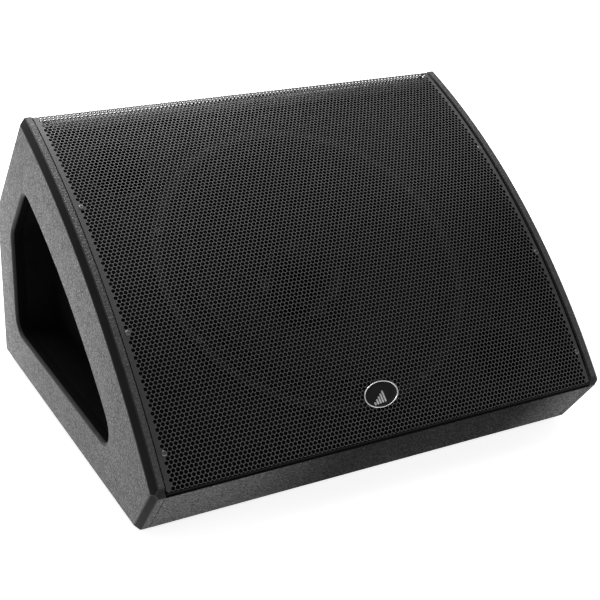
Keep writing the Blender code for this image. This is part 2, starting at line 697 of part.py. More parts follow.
# Connector plate on the floor of the right tray, with two round sockets.
PLATE_X = INNER - TRAY_DEPTH + TRAY_WALL
plate_y, plate_z = place(Vector((300 * MM, 132 * MM)))
plate = block("connector_plate", (2.5 * MM, 120 * MM, 70 * MM),
              (PLATE_X + GAP + 1.25 * MM, plate_y, plate_z), parts, 0.8 * MM)
finish(plate, plastic("plate_plastic", 0.016, 0.4))
SOCKET_R = 12.2 * MM
for dy, label in ((-29 * MM, "input"), (29 * MM, "link")):
    bore = rod("socket_bore_" + label, SOCKET_R + GAP, -0.03, 0.03, 24, cutters)
    bore.location = (PLATE_X, plate_y + dy, plate_z)
    bore.rotation_euler = (0, math.pi / 2, 0)
    as_cutter(bore)
    cut(plate, bore)
    cut(tray_right, bore)
    pf = 2.5 * MM + GAP
    prof = [(0, -1 * MM), (4.2 * MM, -1 * MM), (4.2 * MM, -15 * MM), (10.8 * MM, -15 * MM), (10.8 * MM, pf + 2.4 * MM),
            (15 * MM, pf + 2.4 * MM), (15 * MM, pf + GAP), (SOCKET_R, pf + GAP), (SOCKET_R, -20 * MM), (0, -20 * MM)]
    s = closed_turn("speaker_socket_" + label, prof, 24)
    s.location = (PLATE_X, plate_y + dy, plate_z)
    s.rotation_euler = (0, math.pi / 2, 0)
    finish(s, plastic("socket_plastic_" + label, 0.013, 0.35))

# ---------------------------------------------------------------- crossover
CR_Y, CR_Z = place(Vector((372 * MM, PLY)))
board = block("crossover_board", (190 * MM, 86 * MM, 1.6 * MM), (-60 * MM, CR_Y, CR_Z + 6 * MM), parts)
finish(board, material("board_laminate", (0.03, 0.09, 0.04), 0.5))
bz = CR_Z + 6.8 * MM + GAP
for k, (x, y, r, h) in enumerate(((-118 * MM, -12 * MM, 22 * MM, 20 * MM), (-64 * MM, 14 * MM, 17 * MM, 15 * MM))):
    c = closed_turn(f"crossover_coil_{k + 1}", [(r, h), (r, 0), (r * 0.42, 0), (r * 0.42, h)], 24)
    c.location = (x, CR_Y + y, bz)
    finish(c, material(f"crossover_copper_{k + 1}", (0.45, 0.22, 0.08), 0.4, 0.8))
cap = rod("crossover_capacitor", 11 * MM, -21 * MM, 21 * MM, 20)
cap.location = (-6 * MM, CR_Y + 12 * MM, bz + 11.1 * MM)
cap.rotation_euler = (0, math.pi / 2, 0)
finish(cap, material("capacitor_film", (0.08, 0.1, 0.2), 0.4))

# Damping pad on the inside of the rear panel.
p_in, d_in = offset_line(D, E, PLY + GAP)
pad_line = [p_in + d_in * (34 * MM), p_in + d_in * (168 * MM)]
_, n_in = inward(D, E)
pad = sheet_solid("damping_pad", [pad_line[0], pad_line[1], pad_line[1] + n_in * 18 * MM, pad_line[0] + n_in * 18 * MM],
                  -170 * MM, 170 * MM)
finish(pad, material("damping_felt", (0.10, 0.10, 0.10), 0.95))

# ---------------------------------------------------------------- rubber feet
for k, (x, y) in enumerate(((-1, 46 * MM), (1, 46 * MM), (-1, 420 * MM), (1, 420 * MM))):
    prof = [(0, FOOT_H - GAP), (16 * MM, FOOT_H - GAP), (16 * MM, 3 * MM), (14.5 * MM, 0), (0, 0)]
    f = closed_turn(f"rubber_foot_{k + 1}", prof, 24)
    f.location = (x * 236 * MM, y - Y_MID, 0)
    finish(f, material(f"foot_rubber_{k + 1}", (0.02, 0.02, 0.02), 0.8))
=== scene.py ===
"""Looks of the stage monitor wedge: textured black plywood, perforated steel grille, coaxial driver."""
import math

import bmesh
import bpy
import numpy as np
from mathutils import Matrix, Vector


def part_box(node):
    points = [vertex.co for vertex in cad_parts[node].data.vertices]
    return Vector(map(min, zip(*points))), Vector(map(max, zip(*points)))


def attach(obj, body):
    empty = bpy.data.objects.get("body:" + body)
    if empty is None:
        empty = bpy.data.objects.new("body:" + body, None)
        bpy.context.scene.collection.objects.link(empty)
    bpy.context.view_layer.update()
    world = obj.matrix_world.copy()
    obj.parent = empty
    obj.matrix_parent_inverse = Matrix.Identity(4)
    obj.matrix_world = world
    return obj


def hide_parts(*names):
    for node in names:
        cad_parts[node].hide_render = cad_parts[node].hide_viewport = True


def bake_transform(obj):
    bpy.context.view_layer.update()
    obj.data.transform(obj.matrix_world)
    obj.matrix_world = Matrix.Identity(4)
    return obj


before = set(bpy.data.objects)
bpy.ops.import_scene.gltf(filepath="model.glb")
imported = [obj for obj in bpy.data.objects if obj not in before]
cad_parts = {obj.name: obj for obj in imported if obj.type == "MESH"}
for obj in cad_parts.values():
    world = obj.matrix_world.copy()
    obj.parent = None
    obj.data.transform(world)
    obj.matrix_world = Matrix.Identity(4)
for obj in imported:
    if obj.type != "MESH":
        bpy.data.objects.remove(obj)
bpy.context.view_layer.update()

MM = 0.001
scene = bpy.context.scene
scene.view_settings.view_transform = "Standard"
scene.view_settings.look = "None"

# ------------------------------------------------------------------ camera
CAM_AZ, CAM_EL, CAM_ROLL = math.radians(-28.150), math.radians(24.285), math.radians(1.2723)
CAM_AT = Vector((-0.67227, -1.21341, 0.75823))


def make_camera():
    az, el, roll = CAM_AZ, CAM_EL, CAM_ROLL
    back = Vector((math.sin(az) * math.cos(el), -math.cos(az) * math.cos(el), math.sin(el)))
    right = Vector((math.cos(az), math.sin(az), 0.0))
    up = back.cross(right)
    r = right * math.cos(roll) + up * math.sin(roll)
    u = -right * math.sin(roll) + up * math.cos(roll)
    data = bpy.data.cameras.new("camera")
    data.sensor_width = 36.0
    data.lens = 73.764
    data.shift_x = 0.05
    data.clip_start = 0.02
    data.clip_end = 60.0
    cam = bpy.data.objects.new("camera", data)
    m = Matrix.Identity(4)
    for i in range(3):
        m[i][0], m[i][1], m[i][2], m[i][3] = r[i], u[i], back[i], CAM_AT[i]
    cam.matrix_world = m
    scene.collection.objects.link(cam)
    scene.camera = cam
    return cam


make_camera()

# ------------------------------------------------------------------ profile geometry
WIDTH = 575 * MM
PLY = 15 * MM
GAP = 0.3 * MM
FOOT_H = 6 * MM
Y_MID = 207.0 * MM
HALF = WIDTH / 2
INNER = HALF - PLY
A = Vector((329 * MM, 360 * MM))
B = Vector((-53 * MM, 73 * MM))
C = Vector((0.0, 0.0))
D = Vector((466 * MM, 0.0))
E = Vector((458 * MM, 212 * MM))
CENTRE = (A + B + C + D + E) / 5
BOW_RISE = 33.5 * MM
CHORD = (B - A).normalized()
OUT = Vector((-CHORD.y, CHORD.x))
if OUT.y < 0:
    OUT = -OUT
CHORD_LEN = (B - A).length
BOW_R = (CHORD_LEN ** 2 / 4 + BOW_RISE ** 2) / (2 * BOW_RISE)
BOW_O = (A + B) / 2 - OUT * (BOW_R - BOW_RISE)
BAFFLE_DEPTH = 21.5 * MM
WOOFER_V = 241 * MM


def bow_point(t, inset=0.0):
    a = math.atan2(A.y - BOW_O.y, A.x - BOW_O.x)
    b = math.atan2(B.y - BOW_O.y, B.x - BOW_O.x)
    ang = a + (b - a) * t
    return BOW_O + Vector((math.cos(ang), math.sin(ang))) * (BOW_R - inset)


def place(p):
    return p.x - Y_MID, p.y + FOOT_H


w0 = A + CHORD * WOOFER_V - OUT * BAFFLE_DEPTH
TILT = math.atan2(-OUT.x, OUT.y)
DRIVER = Matrix.Translation((0, *place(w0))) @ Matrix.Rotation(TILT, 4, "X")


def on_bow(t, x):
    """Frame on the bowed front: local Z points outwards."""
    p = bow_point(t)
    n = (p - BOW_O).normalized()
    return Matrix.Translation((x, *place(p))) @ Matrix.Rotation(math.atan2(-n.x, n.y), 4, "X")


# ------------------------------------------------------------------ materials
def nodes_of(name):
    m = bpy.data.materials.new(name)
    m.use_nodes = True
    nt = m.node_tree
    return m, nt, nt.nodes["Principled BSDF"]


def noise(nt, coord, scale, detail=2.0, rough=0.5, kind="FBM"):
    n = nt.nodes.new("ShaderNodeTexNoise")
    n.inputs["Scale"].default_value = scale
    n.inputs["Detail"].default_value = detail
    n.inputs["Roughness"].default_value = rough
    nt.links.new(coord, n.inputs["Vector"])
    return n.outputs["Fac"]


def cells(nt, coord, scale, smooth=0.6):
    v = nt.nodes.new("ShaderNodeTexVoronoi")
    v.feature = "SMOOTH_F1"
    v.inputs["Scale"].default_value = scale
    v.inputs["Smoothness"].default_value = smooth
    v.inputs["Randomness"].default_value = 1.0
    nt.links.new(coord, v.inputs["Vector"])
    return v.outputs["Distance"]


def spread(nt, fac, lo, hi, f0=0.3, f1=0.7):
    r = nt.nodes.new("ShaderNodeMapRange")
    r.inputs["From Min"].default_value = f0
    r.inputs["From Max"].default_value = f1
    r.inputs["To Min"].default_value = lo
    r.inputs["To Max"].default_value = hi
    nt.links.new(fac, r.inputs["Value"])
    return r.outputs["Result"]


def tint(nt, fac, c0, c1, f0=0.3, f1=0.7):
    r = nt.nodes.new("ShaderNodeValToRGB")
    r.color_ramp.elements[0].position = f0
    r.color_ramp.elements[1].position = f1
    r.color_ramp.elements[0].color = (*c0, 1)
    r.color_ramp.elements[1].color = (*c1, 1)
    nt.links.new(fac, r.inputs["Fac"])
    return r.outputs["Color"]


def bump(nt, height, strength, dist, under=None):
    b = nt.nodes.new("ShaderNodeBump")
    b.inputs["Strength"].default_value = strength
    b.inputs["Distance"].default_value = dist
    nt.links.new(height, b.inputs["Height"])
    if under is not None:
        nt.links.new(under, b.inputs["Normal"])
    return b.outputs["Normal"]


def coords(nt, kind="Object"):
    return nt.nodes.new("ShaderNodeTexCoord").outputs[kind]


def surface(name, c0, c1, rough=(0.4, 0.55), metal=0.0, spec=0.5, patch=40.0, grain=(), coat=0.0, sheen=0.0,
            pit_gloss_and_painted_shade=None, along=()):
    """Opaque surface: two shades mottled together, varying roughness, layered bump.
    grain is a list of (kind, scale, strength, distance); along is a list of (x in metres, factor) that fades the
    colour from one end of the cabinet to the other as painted light and shade."""
    m, nt, b = nodes_of(name)
    co = coords(nt)
    base = tint(nt, noise(nt, co, patch, 4.0, 0.6), c0, c1)
    gloss = spread(nt, noise(nt, co, patch * 3.1, 3.0, 0.6), *rough)
    if pit_gloss_and_painted_shade:
        # raised grains are glossier than the pits between them; their colour is lighter and the pits' darker as
        # painted shade of the grain's self-shadowing
        size, dark, light, matt, shine = pit_gloss_and_painted_shade
        grit = spread(nt, noise(nt, co, size, 1.5, 0.6), matt, shine, 0.40, 0.62)
        both = nt.nodes.new("ShaderNodeMath")
        both.operation = "ADD"
        nt.links.new(gloss, both.inputs[0])
        nt.links.new(grit, both.inputs[1])
        gloss = both.outputs[0]
        mul = nt.nodes.new("ShaderNodeMix")
        mul.data_type = "RGBA"
        mul.blend_type = "MULTIPLY"
        mul.inputs["Factor"].default_value = 1.0
        nt.links.new(base, mul.inputs[6])
        nt.links.new(tint(nt, noise(nt, co, size, 1.5, 0.6), (dark,) * 3, (light,) * 3, 0.40, 0.62), mul.inputs[7])
        base = mul.outputs[2]
    # painted light and shade: the colour is multiplied by a ramp along X
    if along:
        where = nt.nodes.new("ShaderNodeSeparateXYZ")
        nt.links.new(nt.nodes.new("ShaderNodeNewGeometry").outputs["Position"], where.inputs[0])
        x0, x1 = along[0][0], along[-1][0]
        ramp = nt.nodes.new("ShaderNodeValToRGB")
        ramp.color_ramp.interpolation = "EASE"
        for i, (x, f) in enumerate(along):
            stops = ramp.color_ramp.elements
            stop = stops[0] if i == 0 else stops[-1] if i == len(along) - 1 else stops.new((x - x0) / (x1 - x0))
            stop.position = (x - x0) / (x1 - x0)
            stop.color = (f, f, f, 1)
        nt.links.new(spread(nt, where.outputs["X"], 0.0, 1.0, x0, x1), ramp.inputs["Fac"])
        mul = nt.nodes.new("ShaderNodeMix")
        mul.data_type = "RGBA"
        mul.blend_type = "MULTIPLY"
        mul.inputs["Factor"].default_value = 1.0
        nt.links.new(base, mul.inputs[6])
        nt.links.new(ramp.outputs["Color"], mul.inputs[7])
        base = mul.outputs[2]
    nt.links.new(base, b.inputs["Base Color"])
    nt.links.new(gloss, b.inputs["Roughness"])
    b.inputs["Metallic"].default_value = metal
    b.inputs["Specular IOR Level"].default_value = spec
    if coat:
        b.inputs["Coat Weight"].default_value = coat
        b.inputs["Coat Roughness"].default_value = 0.12
    if sheen:
        b.inputs["Sheen Weight"].default_value = sheen
        b.inputs["Sheen Roughness"].default_value = 0.6
    normal = None
    for kind, scale, strength, dist in grain:
        if kind == "cell":
            h = cells(nt, co, scale)
        elif kind == "pebble":
            h = spread(nt, noise(nt, co, scale, 1.0, 0.5), 0.0, 1.0, 0.40, 0.60)
        else:
            h = noise(nt, co, scale, 2.0, 0.55)
        normal = bump(nt, h, strength, dist, normal)
    if normal is not None:
        nt.links.new(normal, b.inputs["Normal"])
    return m


def k(v, warm=0.0):
    return (v * (1 + warm), v, v * (1 - warm))


# Rolled-on structured paint: pebbles about 1.5 mm across with a finer grit on top.
PEBBLE = (("pebble", 430.0, 1.0, 0.00030), ("noise", 1100.0, 0.7, 0.0004))
# painted light: the side faces take a lighter copy of the cabinet paint than the other panel faces, standing in for
# the light they catch
side_paint = surface("side_paint", k(0.0272), k(0.0334), (0.40, 0.50), spec=0.34, patch=26.0, grain=PEBBLE,
                     pit_gloss_and_painted_shade=(540.0, 0.56, 1.50, 0.16, -0.10))
panel_paint = surface("panel_paint", k(0.018), k(0.023), (0.40, 0.50), spec=0.5, patch=22.0, grain=PEBBLE,
                      pit_gloss_and_painted_shade=(520.0, 0.5, 1.6, 0.14, -0.10))
# painted reflection: paler towards the left end of the kick panel and at its right corner and darker in the middle,
# standing in for the lit and shaded floor the panel reflects
kick_paint_painted_reflection = surface("kick_paint_painted_reflection", k(0.082), k(0.096), (0.40, 0.50), spec=0.006, patch=22.0, grain=PEBBLE,
                     pit_gloss_and_painted_shade=(470.0, 0.55, 1.5, 0.16, -0.12),
                     along=((-0.290, 0.95), (-0.240, 0.90), (-0.040, 0.14), (0.170, 0.10), (0.290, 0.90)))
# painted shade: a darker copy of the paint for the rounded arrises, which keeps their highlights down
edge_painted_shade = surface("edge_painted_shade", k(0.006), k(0.011), (0.38, 0.50), spec=0.2, patch=60.0,
                     grain=(("noise", 700.0, 0.25, 0.0002),))
# painted shade: darker copies of the cabinet paint for the chamfers, the hand trays, the cut wall of the hand
# opening, the nose and the rounded lip of the opening
band_painted_shade = surface("band_painted_shade", k(0.003), k(0.005), (0.34, 0.46), spec=0.10, patch=40.0,
                     grain=(("noise", 800.0, 0.2, 0.0002),))
tray_paint = surface("tray_paint", k(0.0020), k(0.0030), (0.6, 0.8), spec=0.02, patch=30.0,
                     grain=(("noise", 600.0, 0.5, 0.0003),))
wall_painted_shade = surface("wall_painted_shade", k(0.0014), k(0.0024), (0.6, 0.8), spec=0.03, patch=30.0,
                     grain=(("noise", 500.0, 0.5, 0.0003),))
nose_painted_shade = surface("nose_painted_shade", k(0.0040), k(0.0060), (0.40, 0.52), spec=0.05, patch=40.0,
                     grain=(("noise", 800.0, 0.2, 0.0002),))
lip_painted_shade = surface("lip_painted_shade", k(0.009), k(0.013), (0.40, 0.52), spec=0.10, patch=40.0,
                    grain=(("noise", 700.0, 0.3, 0.0002),))
# painted shade: the baffle, battens and hidden faces behind the grille are painted near black
baffle_paint = surface("baffle_paint", k(0.0022), k(0.0034), (0.6, 0.8), spec=0.05, patch=18.0,
                       grain=(("noise", 500.0, 0.5, 0.0004),))
# painted shade: near-black copy of the grille coat for the hole walls and the lip under the nose
hole_painted_shade = surface("hole_painted_shade", k(0.0008), k(0.0016), (0.5, 0.65), spec=0.02, patch=70.0,
                    grain=(("noise", 2200.0, 0.2, 0.00005),))
# painted highlight and shade: one powder coat as a lighter copy for the webs and a darker copy for the unpunched
# margin
grille_coat = surface("grille_coat", k(0.036), k(0.048), (0.30, 0.42), spec=0.9, patch=70.0,
                      grain=(("noise", 2200.0, 0.2, 0.00005),))
margin_painted_shade = surface("margin_painted_shade", k(0.012), k(0.017), (0.34, 0.46), spec=0.55, patch=70.0,
                      grain=(("noise", 2200.0, 0.2, 0.00005),))
# painted shade: the driver and port parts seen through the grille are painted darker than their own black, so the
# inside reads as shaded
basket_coat = surface("basket_coat", k(0.004), k(0.006), (0.5, 0.64), spec=0.12, patch=50.0,
                      grain=(("noise", 900.0, 0.3, 0.0001),))
surround_painted_shade = surface("surround_rubber", k(0.003), k(0.005), (0.62, 0.78), patch=60.0, spec=0.08,
                         grain=(("cell", 1500.0, 0.4, 0.0001),))
gasket_card = surface("gasket_card", k(0.003), k(0.005), (0.8, 0.95), patch=90.0,
                      grain=(("noise", 1600.0, 0.5, 0.0001),), spec=0.08)
cone_paper = surface("cone_paper", k(0.0022), k(0.0036), (0.65, 0.85), patch=55.0,
                     grain=(("noise", 420.0, 0.6, 0.0005), ("noise", 1500.0, 0.4, 0.00015)), spec=0.06)
horn_plastic = surface("horn_plastic", k(0.0028), k(0.0042), (0.40, 0.50), patch=35.0, spec=0.08,
                       grain=(("noise", 1400.0, 0.15, 0.00006),))
port_plastic = surface("port_plastic", k(0.0026), k(0.0040), (0.46, 0.58), patch=35.0, spec=0.06,
                       grain=(("noise", 1200.0, 0.2, 0.00008),))
plate_plastic = surface("plate_plastic", k(0.0055), k(0.0075), (0.4, 0.54), patch=35.0, spec=0.3,
                        grain=(("cell", 1100.0, 0.35, 0.0001),))
socket_plastic = surface("socket_plastic", k(0.008), k(0.012), (0.2, 0.3), patch=50.0, coat=0.3,
                         grain=(("noise", 900.0, 0.08, 0.00005),))
rubber = surface("foot_rubber", k(0.012), k(0.022), (0.7, 0.85), patch=90.0, spec=0.3,
                 grain=(("noise", 900.0, 0.4, 0.0002),))
black_steel = surface("screw_black", k(0.02), k(0.04), (0.3, 0.45), metal=0.85, patch=400.0,
                      grain=(("noise", 2500.0, 0.2, 0.00005),))
dark_screw = surface("screw_dark", k(0.11), k(0.15), (0.10, 0.18), metal=1.0, patch=500.0,
                     grain=(("noise", 2600.0, 0.15, 0.00004),))
bright_steel = surface("screw_steel", k(0.34), k(0.5), (0.22, 0.36), metal=1.0, patch=500.0,
                       grain=(("noise", 3000.0, 0.15, 0.00004),))
motor_steel = surface("motor_steel", (0.30, 0.29, 0.26), (0.42, 0.41, 0.39), (0.28, 0.44), metal=1.0, patch=40.0,
                      grain=(("noise", 900.0, 0.2, 0.0001),))
ferrite = surface("ferrite", k(0.03), k(0.055), (0.5, 0.65), patch=60.0,
                  grain=(("noise", 700.0, 0.5, 0.0003),))
hf_paint = surface("hf_body", k(0.018), k(0.028), (0.4, 0.55), metal=0.3, patch=40.0,
                   grain=(("noise", 800.0, 0.4, 0.0002),))
titanium = surface("diaphragm_metal", (0.40, 0.40, 0.42), (0.52, 0.52, 0.54), (0.22, 0.34), metal=1.0, patch=90.0,
                   grain=(("noise", 1200.0, 0.15, 0.00005),))
film = surface("capacitor_film", (0.03, 0.05, 0.14), (0.05, 0.08, 0.2), (0.25, 0.4), patch=80.0,
               grain=(("noise", 400.0, 0.2, 0.0002),))
badge_black = surface("badge_black", k(0.004), k(0.006), (0.2, 0.3), patch=120.0, spec=0.18,
                      grain=(("noise", 300.0, 0.05, 0.0001),))
badge_chrome = surface("badge_chrome", k(0.66), k(0.82), (0.10, 0.2), metal=1.0, patch=260.0,
                       grain=(("noise", 900.0, 0.08, 0.00005),))
badge_silver = surface("badge_silver", k(0.50), k(0.66), (0.22, 0.34), metal=1.0, patch=400.0,
                       grain=(("noise", 2600.0, 0.2, 0.00005),))


def wound(name, colours, pitch_scale, axis_matrix=None, metal=0.9):
    """Close turns of enamelled wire: fine rings along the local Z of a frame."""
    m, nt, b = nodes_of(name)
    co = coords(nt)
    if axis_matrix is not None:
        inv = axis_matrix.inverted()
        eul = inv.to_euler()
        mp = nt.nodes.new("ShaderNodeMapping")
        mp.inputs["Location"].default_value = inv.to_translation()
        mp.inputs["Rotation"].default_value = eul
        nt.links.new(co, mp.inputs["Vector"])
        co = mp.outputs["Vector"]
    w = nt.nodes.new("ShaderNodeTexWave")
    w.bands_direction = "Z"
    w.inputs["Scale"].default_value = pitch_scale
    w.inputs["Distortion"].default_value = 0.4
    w.inputs["Detail"].default_value = 1.0
    nt.links.new(co, w.inputs["Vector"])
    nt.links.new(tint(nt, w.outputs["Fac"], colours[0], colours[1], 0.0, 1.0), b.inputs["Base Color"])
    nt.links.new(spread(nt, noise(nt, co, 300.0), 0.25, 0.4), b.inputs["Roughness"])
    nt.links.new(bump(nt, w.outputs["Fac"], 0.6, 0.0001), b.inputs["Normal"])
    b.inputs["Metallic"].default_value = metal
    return m


coil_copper = wound("coil_copper", ((0.20, 0.07, 0.02), (0.52, 0.24, 0.09)), 300.0, DRIVER)
former_film = surface("former_film", (0.016, 0.012, 0.009), (0.026, 0.018, 0.012), (0.35, 0.5), patch=80.0,
                      grain=(("noise", 800.0, 0.2, 0.0001),))
choke_copper = wound("choke_copper", ((0.20, 0.07, 0.02), (0.52, 0.24, 0.09)), 260.0)


def woven(name, c0, c1, scale, rough=(0.8, 0.95), sheen=0.3, height=0.0002):
    """Plain weave from two crossed sets of threads."""
    m, nt, b = nodes_of(name)
    co = coords(nt)
    outs = []
    for d in ("X", "Y"):
        w = nt.nodes.new("ShaderNodeTexWave")
        w.bands_direction = d
        w.inputs["Scale"].default_value = scale
        w.inputs["Distortion"].default_value = 0.8
        nt.links.new(co, w.inputs["Vector"])
        outs.append(w.outputs["Fac"])
    mul = nt.nodes.new("ShaderNodeMath")
    mul.operation = "MAXIMUM"
    nt.links.new(outs[0], mul.inputs[0])
    nt.links.new(outs[1], mul.inputs[1])
    nt.links.new(tint(nt, mul.outputs[0], c0, c1, 0.0, 1.0), b.inputs["Base Color"])
    nt.links.new(spread(nt, noise(nt, co, 120.0), *rough), b.inputs["Roughness"])
    nt.links.new(bump(nt, mul.outputs[0], 0.7, height), b.inputs["Normal"])
    b.inputs["Sheen Weight"].default_value = sheen
    b.inputs["Sheen Roughness"].default_value = 0.7
    return m


spider_cloth = woven("spider_cloth", (0.10, 0.06, 0.02), (0.30, 0.20, 0.08), 190.0)
felt = surface("damping_felt", k(0.07), k(0.14), (0.9, 1.0), patch=30.0, spec=0.1, sheen=0.5,
               grain=(("noise", 260.0, 0.9, 0.0012), ("noise", 900.0, 0.6, 0.0004)))
board = surface("board_laminate", (0.010, 0.045, 0.020), (0.016, 0.065, 0.030), (0.35, 0.5), patch=60.0, coat=0.2,
                grain=(("noise", 600.0, 0.2, 0.0001),))


# ------------------------------------------------------------------ mesh helpers
def dress(me, mats):
    """Give a mesh its materials, keeping which face takes which."""
    which = np.zeros(len(me.polygons), np.int32)
    me.polygons.foreach_get("material_index", which)
    me.materials.clear()
    for m in mats:
        me.materials.append(m)
    me.polygons.foreach_set("material_index", np.minimum(which, len(mats) - 1))
    me.update()


def add(name, me, mats, body="cabinet"):
    ob = bpy.data.objects.new(name, me)
    scene.collection.objects.link(ob)
    dress(me, mats if isinstance(mats, (list, tuple)) else [mats])
    if body:
        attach(ob, body)
    return ob


def shade(me, deg):
    me.shade_smooth()
    me.set_sharp_from_angle(angle=math.radians(deg))


def turned_mesh(name, profile, steps, mtx, deg=35.0):
    """Profile points (radius, height) swept round local Z, placed by a matrix."""
    n = len(profile)
    open_ends = profile[0][0] < 1e-9 and profile[-1][0] < 1e-9
    ang = np.arange(steps) * 2 * math.pi / steps
    pr = np.array(profile, float)
    vx = np.cos(ang)[:, None] * pr[None, :, 0]
    vy = np.sin(ang)[:, None] * pr[None, :, 0]
    vz = np.repeat(pr[None, :, 1], steps, 0)
    verts = np.stack([vx, vy, vz], -1).reshape(-1, 3)
    faces = []
    last = n - 1 if open_ends else n
    for i in range(steps):
        j = (i + 1) % steps
        for q in range(last):
            q2 = (q + 1) % n
            faces.append((i * n + q, j * n + q, j * n + q2, i * n + q2))
    me = bpy.data.meshes.new(name)
    me.from_pydata(verts.tolist(), [], faces)
    bm = bmesh.new()
    bm.from_mesh(me)
    bmesh.ops.remove_doubles(bm, verts=bm.verts, dist=1e-7)
    bmesh.ops.dissolve_degenerate(bm, edges=bm.edges, dist=1e-8)
    bmesh.ops.recalc_face_normals(bm, faces=bm.faces)
    bm.to_mesh(me)
    bm.free()
    me.transform(mtx)
    shade(me, deg)
    return me


def applied(ob):
    """Mesh of an object with its modifiers applied."""
    bpy.context.view_layer.update()
    dg = bpy.context.evaluated_depsgraph_get()
    return bpy.data.meshes.new_from_object(ob.evaluated_get(dg))


def refined(node, mats, width, segments=2, deg=25.0, body="cabinet", name=None, shape=None):
    """The CAD shape with its arrises rounded over; new edge faces take the second material."""
    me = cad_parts[node].data.copy()
    bm = bmesh.new()
    bm.from_mesh(me)
    bmesh.ops.remove_doubles(bm, verts=bm.verts, dist=2e-6)
    bmesh.ops.dissolve_limit(bm, angle_limit=math.radians(0.3), verts=bm.verts, edges=bm.edges)
    bmesh.ops.recalc_face_normals(bm, faces=bm.faces)
    for f in bm.faces:
        f.material_index = 0
    if shape:
        print(node, "opening faces and edges", shape(bm))
    bm.to_mesh(me)
    bm.free()
    tmp = bpy.data.objects.new(node + "_tmp", me)
    scene.collection.objects.link(tmp)
    dress(me, mats)
    bv = tmp.modifiers.new("edges", "BEVEL")
    bv.width = width
    bv.segments = segments
    bv.limit_method = "ANGLE"
    bv.angle_limit = math.radians(deg)
    bv.material = 1 if len(mats) > 1 else -1
    bv.use_clamp_overlap = True
    out = applied(tmp)
    bpy.data.objects.remove(tmp, do_unlink=True)
    if out.has_custom_normals if hasattr(out, "has_custom_normals") else False:
        out.free_normals_split() if hasattr(out, "free_normals_split") else None
    for att in ("custom_normal",):
        if att in out.attributes:
            out.attributes.remove(out.attributes[att])
    shade(out, 30.0)
    ob = add(name or node + "_shell", out, mats, body)
    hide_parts(node)
    return ob


# ------------------------------------------------------------------ cabinet panels
def opening_lip(bm, sx):
    """Round the outer edge of the hand opening and sort the side panel's faces among copies of the one paint: the
    side faces keep the lighter copy as painted light, the cut wall and rounded lip take darker copies as painted
    shade of the recess, the chamfers and nose corner take darker copies as painted shade, the kick strip and right
    nose take the kick panel's painted reflection, and other edge faces the plain panel paint.
    """
    wall, lip = set(), []
    for f in bm.faces:
        if abs(f.normal.x) < 0.02:
            c = f.calc_center_median()
            y, z = c.y + Y_MID, c.z - FOOT_H
            p = Vector((y, z))
            deep = min((p - BOW_O).length, BOW_R) < BOW_R - 40 * MM
            for a, b in ((B, C), (C, D), (D, E), (E, A)):
                d = (b - a).normalized()
                n = Vector((-d.y, d.x))
                if n.dot(CENTRE - a) < 0:
                    n = -n
                deep = deep and (p - a).dot(n) > (20 if a == B else 30) * MM
            if deep:
                wall.add(f)
    for e in bm.edges:
        if len(e.link_faces) == 2:
            f0, f1 = e.link_faces
            if (f0 in wall) != (f1 in wall) and all(abs(v.co.x - sx * HALF) < 1e-5 for v in e.verts):
                lip.append(e)
    for f in bm.faces:
        c = f.calc_center_median()
        at = Vector((c.y + Y_MID, c.z - FOOT_H))
        if abs(f.normal.x) < 0.1:
            under = f.normal.y < -0.5 and f.normal.z < -0.2
            # painted shade: edge faces within 9 mm of the nose corner take the dark chamfer copy; the kick strip
            # takes the kick panel's painted reflection
            f.material_index = 3 if (at - B).length < 9 * MM else 5 if under else 4
        elif abs(f.normal.x) < 0.95:
            nose = f.normal.y < -0.3 and f.normal.z < -0.15
            # painted shade: chamfers take the dark chamfer copy; the nose chamfer takes a darker copy on the left and
            # the kick panel's painted reflection on the right
            f.material_index = 3 if not nose else 6 if sx < 0 else 5
    for f in wall:
        # painted shade: the cut wall of the opening is near black
        f.material_index = 2
    # painted shade: the rounded lip of the opening takes a darker copy of the paint
    bmesh.ops.bevel(bm, geom=lip, offset=3.8 * MM, segments=7, profile=0.5, affect="EDGES", clamp_overlap=False, material=7)
    return len(wall), len(lip)


for s, sx in (("left", -1), ("right", 1)):
    refined("side_panel_" + s, [side_paint, edge_painted_shade, wall_painted_shade, band_painted_shade, panel_paint, kick_paint_painted_reflection, nose_painted_shade, lip_painted_shade],
            0.9 * MM, 3, shape=lambda bm, sx=sx: opening_lip(bm, sx))
# painted shade: the hand trays take the near-black recess copy
for s in ("left", "right"):
    refined("hand_tray_" + s, [tray_paint, tray_paint], 0.6 * MM, 2)


def show_face(bm):
    """Only the outer face of the kick panel carries the painted reflection that fades along it; its hidden faces are
    dark.
    """
    for f in bm.faces:
        f.material_index = 0 if f.normal.y < -0.5 and f.normal.z < -0.2 else 2


# painted reflection: the kick panel's outer face and rounded arrises carry the fading painted reflection
refined("kick_panel", [kick_paint_painted_reflection, kick_paint_painted_reflection, baffle_paint], 0.3 * MM, 2, shape=show_face)
# painted shade: the rounded arrises of these panels take the darker edge copy of the paint
refined("bottom_panel", [panel_paint, edge_painted_shade], 0.8 * MM, 2)
refined("rear_panel", [panel_paint, edge_painted_shade], 0.8 * MM, 2)
refined("rear_top_panel", [panel_paint, edge_painted_shade], 0.8 * MM, 2)
for s in ("left", "right"):
    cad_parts["grille_batten_" + s].data.materials.clear()
    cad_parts["grille_batten_" + s].data.materials.append(baffle_paint)


def repaint(node, mat):
    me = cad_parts[node].data
    me.materials.clear()
    me.materials.append(mat)


# painted shade: the baffle behind the grille is painted near black
repaint("baffle", baffle_paint)

